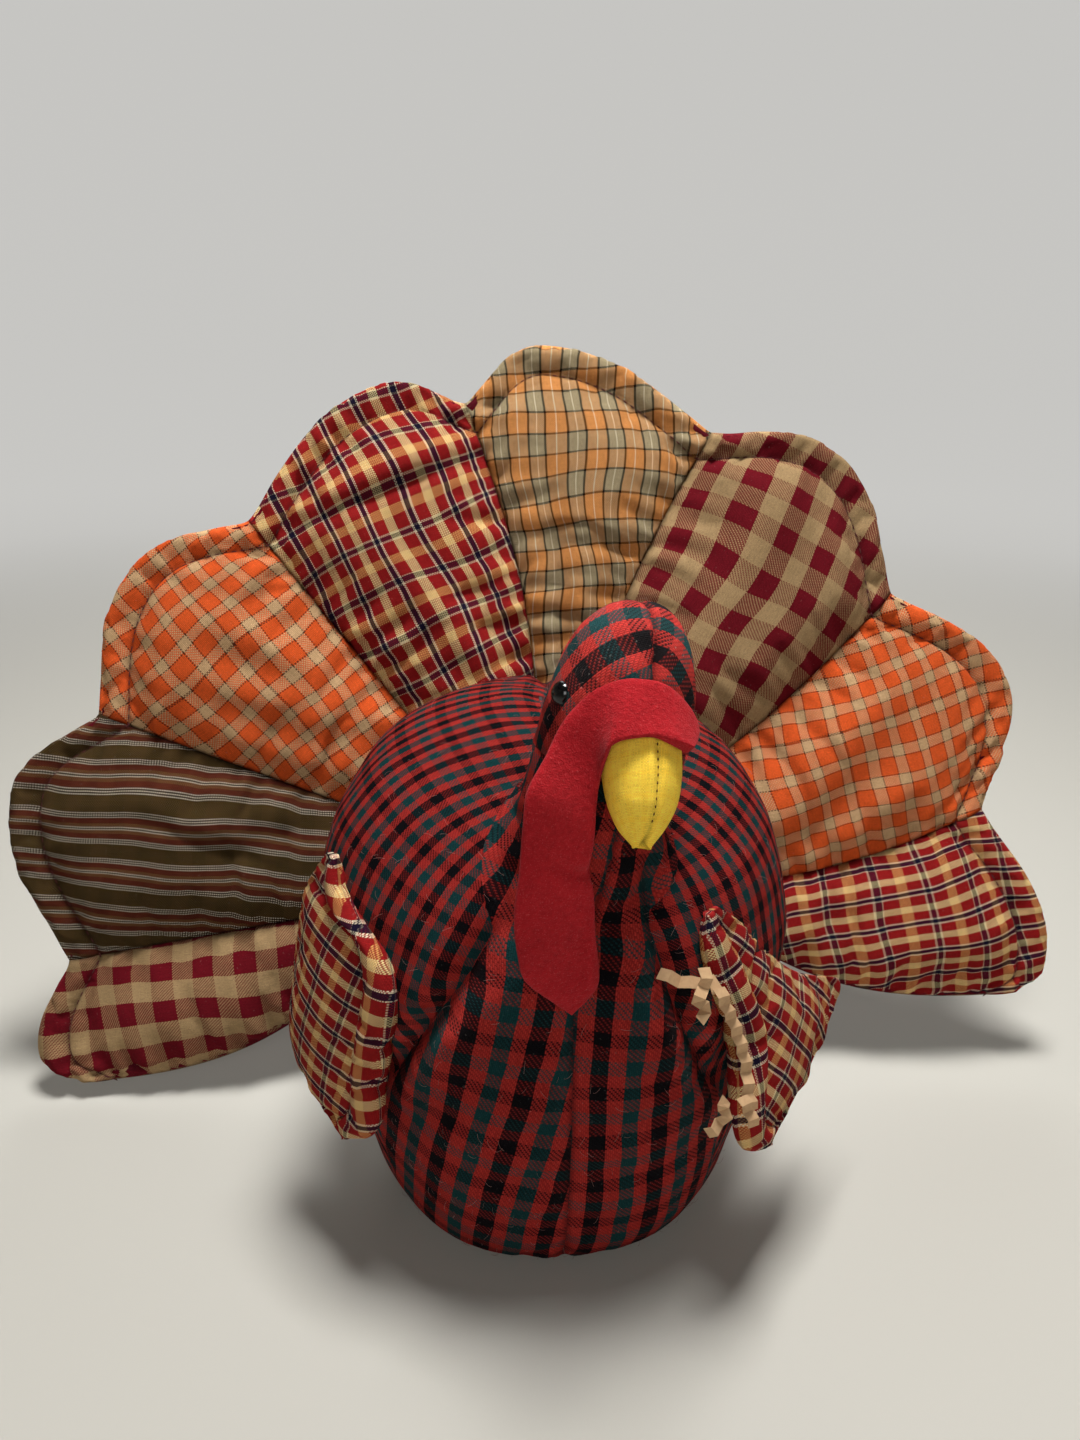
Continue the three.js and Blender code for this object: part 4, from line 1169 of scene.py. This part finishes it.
# %% Snood
ARCH_PLACE = (18.88, -59.27, 177.40)
ARCH_AXES = ((0.9602, 0.2041, -0.1908), (-0.0004, 0.6840, 0.7295), (0.2794, -0.7004, 0.6568))
FLAP_PLACE = (-5.208, -56.341, 174.637)
FLAP_AXES = ((0.9781, 0.2079, 0), (0, 0, 1), (0.2079, -0.9781, 0))
ARCH_INNER, ARCH_OUTER, ARCH_SHIFT, ARCH_DROOP = 8, 22, -7, 40
FLAP_WIDTH, FLAP_LENGTH, FELT_THICKNESS, ARCH_FLAT = 22.5, 73, 3, 0.45
SNOOD_STATIONS, SNOOD_AROUND, PINCH = 190, 48, 29


def arch_rail(turn, share):
    end = np.minimum(1, turn / 0.4)
    narrow = np.maximum(0.12, np.sqrt(1 - (1 - end) ** 2))
    radius = ARCH_INNER + (ARCH_OUTER - ARCH_INNER) * (0.5 + (share - 0.5) * narrow)
    x = radius * np.cos(turn) * np.where(turn > math.pi / 2, 0.8, 1) + ARCH_SHIFT
    y = radius * np.sin(turn) * (ARCH_FLAT + (0.92 - ARCH_FLAT) * share) + 2.3 * np.maximum(0, np.cos(turn))
    return placed(np.column_stack([x, y, FELT_THICKNESS / 2 - x ** 2 / ARCH_DROOP]), ARCH_PLACE, *ARCH_AXES)


def flap_rail(fall, edge):
    """One edge of the hanging end: -1 and 1 are its sides, which close in to a lopsided point."""
    slant = 6 if edge > 0 else 13
    foot = np.clip((fall - (FLAP_LENGTH - slant)) / slant, 0, 1)
    half = FLAP_WIDTH / 2 * (0.86 + 0.12 * eased(fall, 26, 40))
    half = half - (edge > 0) * 1.3 * np.exp(-((fall - PINCH) / 2.4) ** 2)
    bow = 1.0 - 2.4 * np.sin(fall / FLAP_LENGTH * math.pi) + eased(fall, 45, 60)
    lean = 1.5 * np.sin(fall / FLAP_LENGTH * math.pi)
    x = edge * half * (1 - 0.95 * foot) + 2.2 * foot + bow
    return placed(np.column_stack([x, -fall, lean]), FLAP_PLACE, *FLAP_AXES)


def evened(rail, count, softness):
    """A rail with its corner softened and its points spread evenly."""
    for _ in range(softness):
        rail[1:-1] = (rail[:-2] + 2 * rail[1:-1] + rail[2:]) / 4
    return spread_evenly(rail, count)


turns, falls = np.linspace(0.0, math.pi, 90), np.linspace(3, FLAP_LENGTH, 150)
inner = evened(np.vstack([arch_rail(turns, 0.0), flap_rail(falls, 1)]), SNOOD_STATIONS, 60)
outer = evened(np.vstack([arch_rail(turns, 1.0), flap_rail(falls, -1)]), SNOOD_STATIONS, 60)
middle = (inner + outer) / 2
across = outer - inner
forward = np.gradient(middle, axis=0)
facing = np.cross(forward, across)
facing /= np.linalg.norm(facing, axis=1, keepdims=True)
facing *= np.sign(facing[:, 1:2]) * -1
round_turn = np.linspace(0, 2 * math.pi, SNOOD_AROUND, endpoint=False)
breadth = np.sign(np.cos(round_turn)) * np.abs(np.cos(round_turn)) ** 0.35
depth = np.sign(np.sin(round_turn)) * np.abs(np.sin(round_turn)) ** 0.7
width = np.linalg.norm(across, axis=1)
inset = (width - FELT_THICKNESS * 0.2) / width
rings = (middle[:, None] + across[:, None] * (breadth[None, :, None] / 2 * inset[:, None, None])
         + facing[:, None] * depth[None, :, None] * FELT_THICKNESS / 2)
rings = rings.reshape(-1, 3)
side, height, _ = ((rings - np.array(FLAP_PLACE)) @ np.array(FLAP_AXES).T).T
pinched = 2.0 * np.exp(-((height + PINCH + 0.25 * side) / 2.2) ** 2) * eased(side, -6, 8)
tucked = np.exp(-((side - 6.2) / 1.2) ** 2) * eased(-height, 44, 50) * (1 - eased(-height, 60, 67))
dents = (pinched + 1.1 * tucked) * (np.tile(depth, SNOOD_STATIONS) > 0)
rings += (0.35 * ripple(rings, 14, 31) - dents)[:, None] * np.repeat(facing, SNOOD_AROUND, 0)
first_ring = np.arange(SNOOD_AROUND)
end_caps = [first_ring[::-1].tolist(), (first_ring + (SNOOD_STATIONS - 1) * SNOOD_AROUND).tolist()]
snood = new_object("snood_felt", rings, grid_faces(SNOOD_STATIONS, SNOOD_AROUND, True) + end_caps, felt)
with edited(snood.data) as tool:
    bmesh.ops.recalc_face_normals(tool, faces=tool.faces)
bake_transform(snood)
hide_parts("snood_bridge", "snood_flap")
print("snood:", len(snood.data.polygons), "faces, width", round(float(width.max()), 1), "mm")

# %% [markdown]
# The eyes are two black beads. A lathe profile, turned about the line from the middle of the head to the
# bead, gives the flat back, the rim and the dome.

# %% Eyes
bead, tree, shader = new_material("bead", 0.12, Specular_IOR_Level=0.45, Coat_Weight=0.1)
place = tree.object_place()
specks = tree.noise(place, 1500.0, 3.0)
colour = specks.eased(0.55, 0.75).mixed(srgb(6, 5, 5), srgb(24, 20, 20))
finish_material(tree, shader, colour, 0.08 + specks * 0.14, specks, 0.02 * MM, 0.3)
EYE_PROFILE = [(0.0, -1.8), (1.8, -1.8), (3.0, -1.3), (3.55, -0.3), (3.45, 0.6), (3.0, 1.4), (2.3, 2.1),
               (1.4, 2.6), (0.6, 2.75), (0.4, 2.6), (0.0, 2.5)]
EYE_SIDES = 36


def eye_piece(side):
    low_corner, high_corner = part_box(f"eye_{side}")
    centre = np.array((low_corner + high_corner) / 2) / MM
    local = in_neck(centre[None])[0]
    out = np.array([local[0], local[1] + NECK_LEAN, 0])
    way = Vector(out / np.linalg.norm(out) @ NECK_AXES)
    basis = np.array(way.to_track_quat("Z", "Y").to_matrix()).T
    rings = lathe(EYE_PROFILE[1:-1], EYE_SIDES)
    points = np.vstack([rings, [[0, 0, EYE_PROFILE[0][1]], [0, 0, EYE_PROFILE[-1][1]]]]) @ basis + centre
    last = len(rings)
    around = [(i, (i + 1) % EYE_SIDES) for i in range(EYE_SIDES)]
    faces = grid_faces(len(EYE_PROFILE) - 2, EYE_SIDES, True)
    faces += [[last, b, a] for a, b in around]
    faces += [[last + 1, last - EYE_SIDES + a, last - EYE_SIDES + b] for a, b in around]
    made = new_object(f"eye_{side}_bead", points, faces, bead)
    refine(made, 1)
    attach(made, "bird")
    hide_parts(f"eye_{side}")
    print(made.name, "at", np.round(centre))


for side in ("left", "right"):
    eye_piece(side)

# %% [markdown]
# Crimped paper shred is caught in the seam along the front of one wing. A ribbon follows a line of points,
# and every second fold stands off it, so flat shading shows each facet as light or dark.

# %% Paper strands
paper, tree, shader = new_material("crimped_paper", 0.85, Specular_IOR_Level=0.25)
place = tree.object_place()
grain = tree.noise(place, 900.0, 4.0)
blotch = tree.noise(place, 90.0, 2.0)
colour = (grain * 0.5 + blotch * 0.5).mixed(srgb(160, 122, 86), srgb(214, 178, 136))
finish_material(tree, shader, colour, 0.8 + grain * 0.15, grain, 0.08 * MM, 0.5)
PAPER_WIDTH, PAPER_FOLD, PAPER_CRIMP, PAPER_LEAN = 3.5, 3.0, 1.7, math.radians(26)
PAPER_THICKNESS = 0.25
# The way to the camera and the paths of the ribbons, in the wing's own frame.
TO_CAMERA = np.array([-0.80, 0.37, 0.47])
STRANDS = {
    "upper": [[(-28, -12, -10), (-26, -15, -6.5), (-22.6, -17.4, -2.5), (-21.5, -16.2, 1.5),
               (-22.5, -18.5, 4)],
              [(-24.8, -10.5, 2.5), (-25.6, -15.3, 2.5), (-30.5, -17, 1.5), (-26.4, -22.4, 2),
               (-29.5, -23, 1)]],
    "long": [[(-22.3, -17.6, 4.4), (-21.2, -22.6, 4.4), (-18.4, -29.4, 4.2), (-16.6, -36.2, 4.2),
              (-15.6, -43.2, 4.2), (-16.4, -48.4, 4.4), (-18.2, -51.8, 4.8), (-17, -57.7, 4.8)]],
    "lower": [[(-20, -53.4, -1), (-22.6, -53.6, -1.5), (-20.2, -58.2, -2), (-24.5, -59.4, -3),
               (-28.5, -59.5, -4)],
              [(-21, -51, 4.6), (-19.4, -56.5, 5), (-18.2, -62, 5)]],
}


def ribbon(path, start):
    """The points and faces of one crimped ribbon along a path."""
    path = np.array(path, float)
    count = max(4, round(length_so_far(path)[-1] / PAPER_FOLD) + 1)
    middle = spread_evenly(path, count)
    tangent = np.gradient(middle, axis=0)
    aside = np.cross(tangent, TO_CAMERA)
    aside /= np.linalg.norm(aside, axis=1, keepdims=True)
    off = TO_CAMERA * math.cos(PAPER_LEAN) - aside * math.sin(PAPER_LEAN)
    aside = aside * math.cos(PAPER_LEAN) + TO_CAMERA * math.sin(PAPER_LEAN)
    middle = middle + (np.arange(count) % 2 * PAPER_CRIMP)[:, None] * off
    points = np.stack([middle - aside * PAPER_WIDTH / 2, middle + aside * PAPER_WIDTH / 2], 1).reshape(-1, 3)
    return points, grid_faces(count, 2, False, start)


def strand_piece(name, paths):
    points, faces = [], []
    for path in paths:
        ribbon_points, ribbon_faces = ribbon(path, sum(len(p) for p in points))
        points.append(ribbon_points)
        faces += ribbon_faces
    wing = WINGS["left"]
    made = new_object(f"paper_strand_{name}_ribbon", placed(np.vstack(points), wing["place"], *wing["axes"]),
                      faces, paper, smooth=False)
    thicken(made, PAPER_THICKNESS)
    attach(made, "wing_left_body")
    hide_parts(f"paper_strand_{name}")
    print(made.name, len(faces), "folds")


for name, paths in STRANDS.items():
    strand_piece(name, paths)

# %% [markdown]
# Stitches repeat along a line, which is what Geometry Nodes do best. The tree takes a line of points that
# carries its own upward direction, walks along it by one stitch length at a time, and lays a small lozenge
# of thread there, turned along the line. The result is realised and kept as a plain mesh.

# %% Stitches along a line
def new_tree(name, *sockets):
    """An empty geometry tree with a number for each named socket, and its sockets by name."""
    group = bpy.data.node_groups.new(name, "GeometryNodeTree")
    group.interface.new_socket("Geometry", in_out="INPUT", socket_type="NodeSocketGeometry")
    numbers = {name: group.interface.new_socket(name, in_out="INPUT", socket_type="NodeSocketFloat")
               for name in sockets}
    group.interface.new_socket("Geometry", in_out="OUTPUT", socket_type="NodeSocketGeometry")
    tree = Yarn(group)
    start = tree.node("NodeGroupInput")
    inputs = [Yarn(group, socket) for socket in start.socket.node.outputs[:-1]]
    return tree, inputs, {name: socket.identifier for name, socket in numbers.items()}


def end_tree(tree, shape, material):
    real = tree.node("GeometryNodeRealizeInstances", {0: shape})
    smooth = tree.node("GeometryNodeSetShadeSmooth", {0: real})
    painted = tree.node("GeometryNodeSetMaterial", {0: smooth, "Material": material})
    end = tree.tree.nodes.new("NodeGroupOutput")
    tree.tree.links.new(painted.socket, end.inputs[0])


def thread_material(name, red, green, blue):
    material, tree, shader = new_material(name, 0.8, Specular_IOR_Level=0.25)
    twist = tree.noise(tree.object_place(), 1800.0, 2.0)
    colour = twist.mixed(srgb(red * 0.7, green * 0.7, blue * 0.7), srgb(red, green, blue))
    finish_material(tree, shader, colour, 0.75 + twist * 0.2, twist, 0.05 * MM, 0.5)
    return material


def stitch_tree(material):
    tree, (line, pitch, length, thickness), names = new_tree("stitches", "Pitch", "Length", "Thickness")
    curve = tree.node("GeometryNodeMeshToCurve", {0: line})
    walk = tree.node("GeometryNodeCurveToPoints", {0: curve, "Length": pitch}, mode="LENGTH")
    tangent = walk.other("Tangent")
    up = tree.node("GeometryNodeInputNamedAttribute", {"Name": "up"}, data_type="FLOAT_VECTOR")
    turn = tree.node("FunctionNodeAxesToRotation", {0: tangent, 1: up}, primary_axis="X", secondary_axis="Z")
    lozenge = tree.node("GeometryNodeMeshUVSphere", {"Segments": 6, "Rings": 5, "Radius": 0.5})
    size = tree.vector(length, thickness, thickness)
    laid = tree.node("GeometryNodeInstanceOnPoints",
                     {"Points": walk, "Instance": lozenge, "Rotation": turn, "Scale": size})
    end_tree(tree, laid, material)
    return tree.tree, names


def stitch_piece(name, lines, up, body, tree_and_names, sizes):
    """One mesh of stitches along lines of points in the shared frame, in millimetres."""
    points, edges = [], []
    for line in lines:
        edges += [(len(points) + k, len(points) + k + 1) for k in range(len(line) - 1)]
        points += [tuple(p * MM) for p in line]
    mesh = bpy.data.meshes.new(name)
    mesh.from_pydata(points, edges, [])
    mesh.attributes.new("up", "FLOAT_VECTOR", "POINT").data.foreach_set("vector", np.tile(up, len(points)))
    made = bpy.data.objects.new(name, mesh)
    scene.collection.objects.link(made)
    sewing = made.modifiers.new("sewing", "NODES")
    sewing.node_group, names = tree_and_names
    for key, size in sizes.items():
        sewing[names[key]] = size * MM
    applied(made)
    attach(made, body)
    print(name, len(made.data.polygons), "faces")


TOPSTITCH = dict(Pitch=3.2, Length=2.3, Thickness=0.5)
RIDGE_STITCH = dict(Pitch=1.9, Length=0.9, Thickness=0.4)
ON_CLOTH, ON_RIDGE = np.array([0, 0, 0.25]), np.array([0, 0.12, 0])
dark_thread = stitch_tree(thread_material("dark_thread", 92, 40, 40))
fan_lines = [placed(line + ON_CLOTH, TAIL_PLACE, *TAIL_AXES) for line in topstitch_lines]
stitch_piece("tail_topstitch", fan_lines, TAIL_AXES[2], "tail_body", dark_thread, TOPSTITCH)
for side, facts in WINGS.items():
    line = placed(wing_lines[side][4:-4] + ON_CLOTH, facts["place"], *facts["axes"])
    stitch_piece(f"wing_{side}_topstitch", [line], facts["axes"][2], f"wing_{side}_body",
                 dark_thread, TOPSTITCH)
brown_thread = stitch_tree(thread_material("brown_thread", 104, 56, 10))
ridge_line = placed(ridge + ON_RIDGE, BEAK_PLACE, *BEAK_AXES)
stitch_piece("beak_ridge_stitches", [ridge_line], BEAK_AXES[1], "bird", brown_thread,
             RIDGE_STITCH)

# %% [markdown]
# Old cotton sheds. A second tree scatters points over the body's skin with a fixed seed and stands a short
# bent fibre on each, turned at random, so the outline of the bird is not too clean.

# %% Lint
def lint_tree(material):
    tree, (skin, density, length), names = new_tree("lint", "Density", "Length")
    spread = tree.node("GeometryNodeDistributePointsOnFaces", {0: skin, "Density": density, "Seed": 7})
    normal = spread.other("Normal")
    bent = tree.node("GeometryNodeCurveQuadraticBezier", {
        "Resolution": 5, "Start": (0, 0, 0), "Middle": (0.3, 0, 0.5), "End": (1, 0.2, 0.35)})
    thin = tree.node("GeometryNodeCurvePrimitiveCircle", {"Resolution": 3, "Radius": 0.015})
    fibre = tree.node("GeometryNodeCurveToMesh", {0: bent, "Profile Curve": thin, "Fill Caps": True})
    spin = tree.node("FunctionNodeRandomValue", {0: (-1, -1, -1), 1: (1, 1, 1), "Seed": 3},
                     data_type="FLOAT_VECTOR")
    turn = tree.node("FunctionNodeAxesToRotation", {0: normal, 1: spin},
                     primary_axis="Z", secondary_axis="X")
    grown = tree.node("FunctionNodeRandomValue", {2: 0.4, 3: 1.2, "Seed": 5}, 1, data_type="FLOAT")
    laid = tree.node("GeometryNodeInstanceOnPoints",
                     {"Points": spread, "Instance": fibre, "Rotation": turn, "Scale": grown * length})
    end_tree(tree, laid, material)
    return tree.tree, names


LINT_DENSITY, LINT_LENGTH = 18000.0, 2.8
lint = bpy.data.objects.new("body_lint", body.data.copy())
scene.collection.objects.link(lint)
shedding = lint.modifiers.new("shedding", "NODES")
shedding.node_group, names = lint_tree(thread_material("lint_fibre", 166, 122, 114))
shedding[names["Density"]] = LINT_DENSITY
shedding[names["Length"]] = LINT_LENGTH * MM
applied(lint)
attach(lint, "bird")
print("lint:", len(lint.data.polygons), "faces")

# %% [markdown]
# The floor is a wide pale dish whose rim rises far away, so that there is no horizon line in any
# view. Soft light comes from a broad lamp overhead, as a ceiling light gives, from weaker ones in front and
# behind, so that no side is left in the dark, and from a pale world.

# %% Studio
# Metres from the middle, and above the floor.
DISH_PROFILE = [(0.4, 0), (0.9, 0), (1.3, 0), (1.6, 0.06), (1.85, 0.2), (2.05, 0.5), (2.15, 1), (2.2, 2)]
DISH_SIDES = 96


def dish():
    points = np.vstack([[[0, 0, 0]], lathe(DISH_PROFILE, DISH_SIDES)]) / MM
    faces = [[0, 1 + i, 1 + (i + 1) % DISH_SIDES] for i in range(DISH_SIDES)]
    return points, faces + grid_faces(len(DISH_PROFILE), DISH_SIDES, True, 1, True)


backdrop, tree, shader = new_material("backdrop", 0.75, Specular_IOR_Level=0.2)
shader.inputs["Base Color"].default_value = srgb(187, 184, 175)
place = tree.object_place()
distance = tree.node("ShaderNodeVectorMath", {0: place}, 1, operation="LENGTH")
seen = tree.node("ShaderNodeLightPath")
glow = tree.node("ShaderNodeEmission", {"Color": srgb(206, 205, 202), "Strength": 1.0})
lit = Yarn(tree.tree, shader.outputs[0])
shown = tree.node("ShaderNodeMixShader", {0: seen * distance.eased(0.4, 1.5) * 0.9, 1: lit, 2: glow})
tree.tree.links.new(shown.socket, tree.tree.nodes["Material Output"].inputs["Surface"])
floor = new_object("floor", *dish(), backdrop)


def lamp(name, place, power, size):
    """A square lamp, in metres and watts, that faces the middle of the figure."""
    made = bpy.data.objects.new(name, bpy.data.lights.new(name, "AREA"))
    made.data.energy = power
    made.data.size = size
    made.location = place
    made.rotation_euler = (Vector((0, 0, 0.1)) - made.location).to_track_quat("-Z", "Y").to_euler()
    scene.collection.objects.link(made)


lamp("ceiling_light", (0.06, 0.07, 1.1), 14.5, 0.3)
lamp("front_light", (-0.05, -1.3, 0.8), 5.0, 0.6)
lamp("back_light", (0.2, 1.2, 0.9), 6.0, 0.8)
world = bpy.data.worlds.new("studio")
world.use_nodes = True
sky = world.node_tree.nodes["Background"].inputs
sky["Color"].default_value = srgb(228, 229, 232)
sky["Strength"].default_value = 0.06
scene.world = world
print("studio lit")
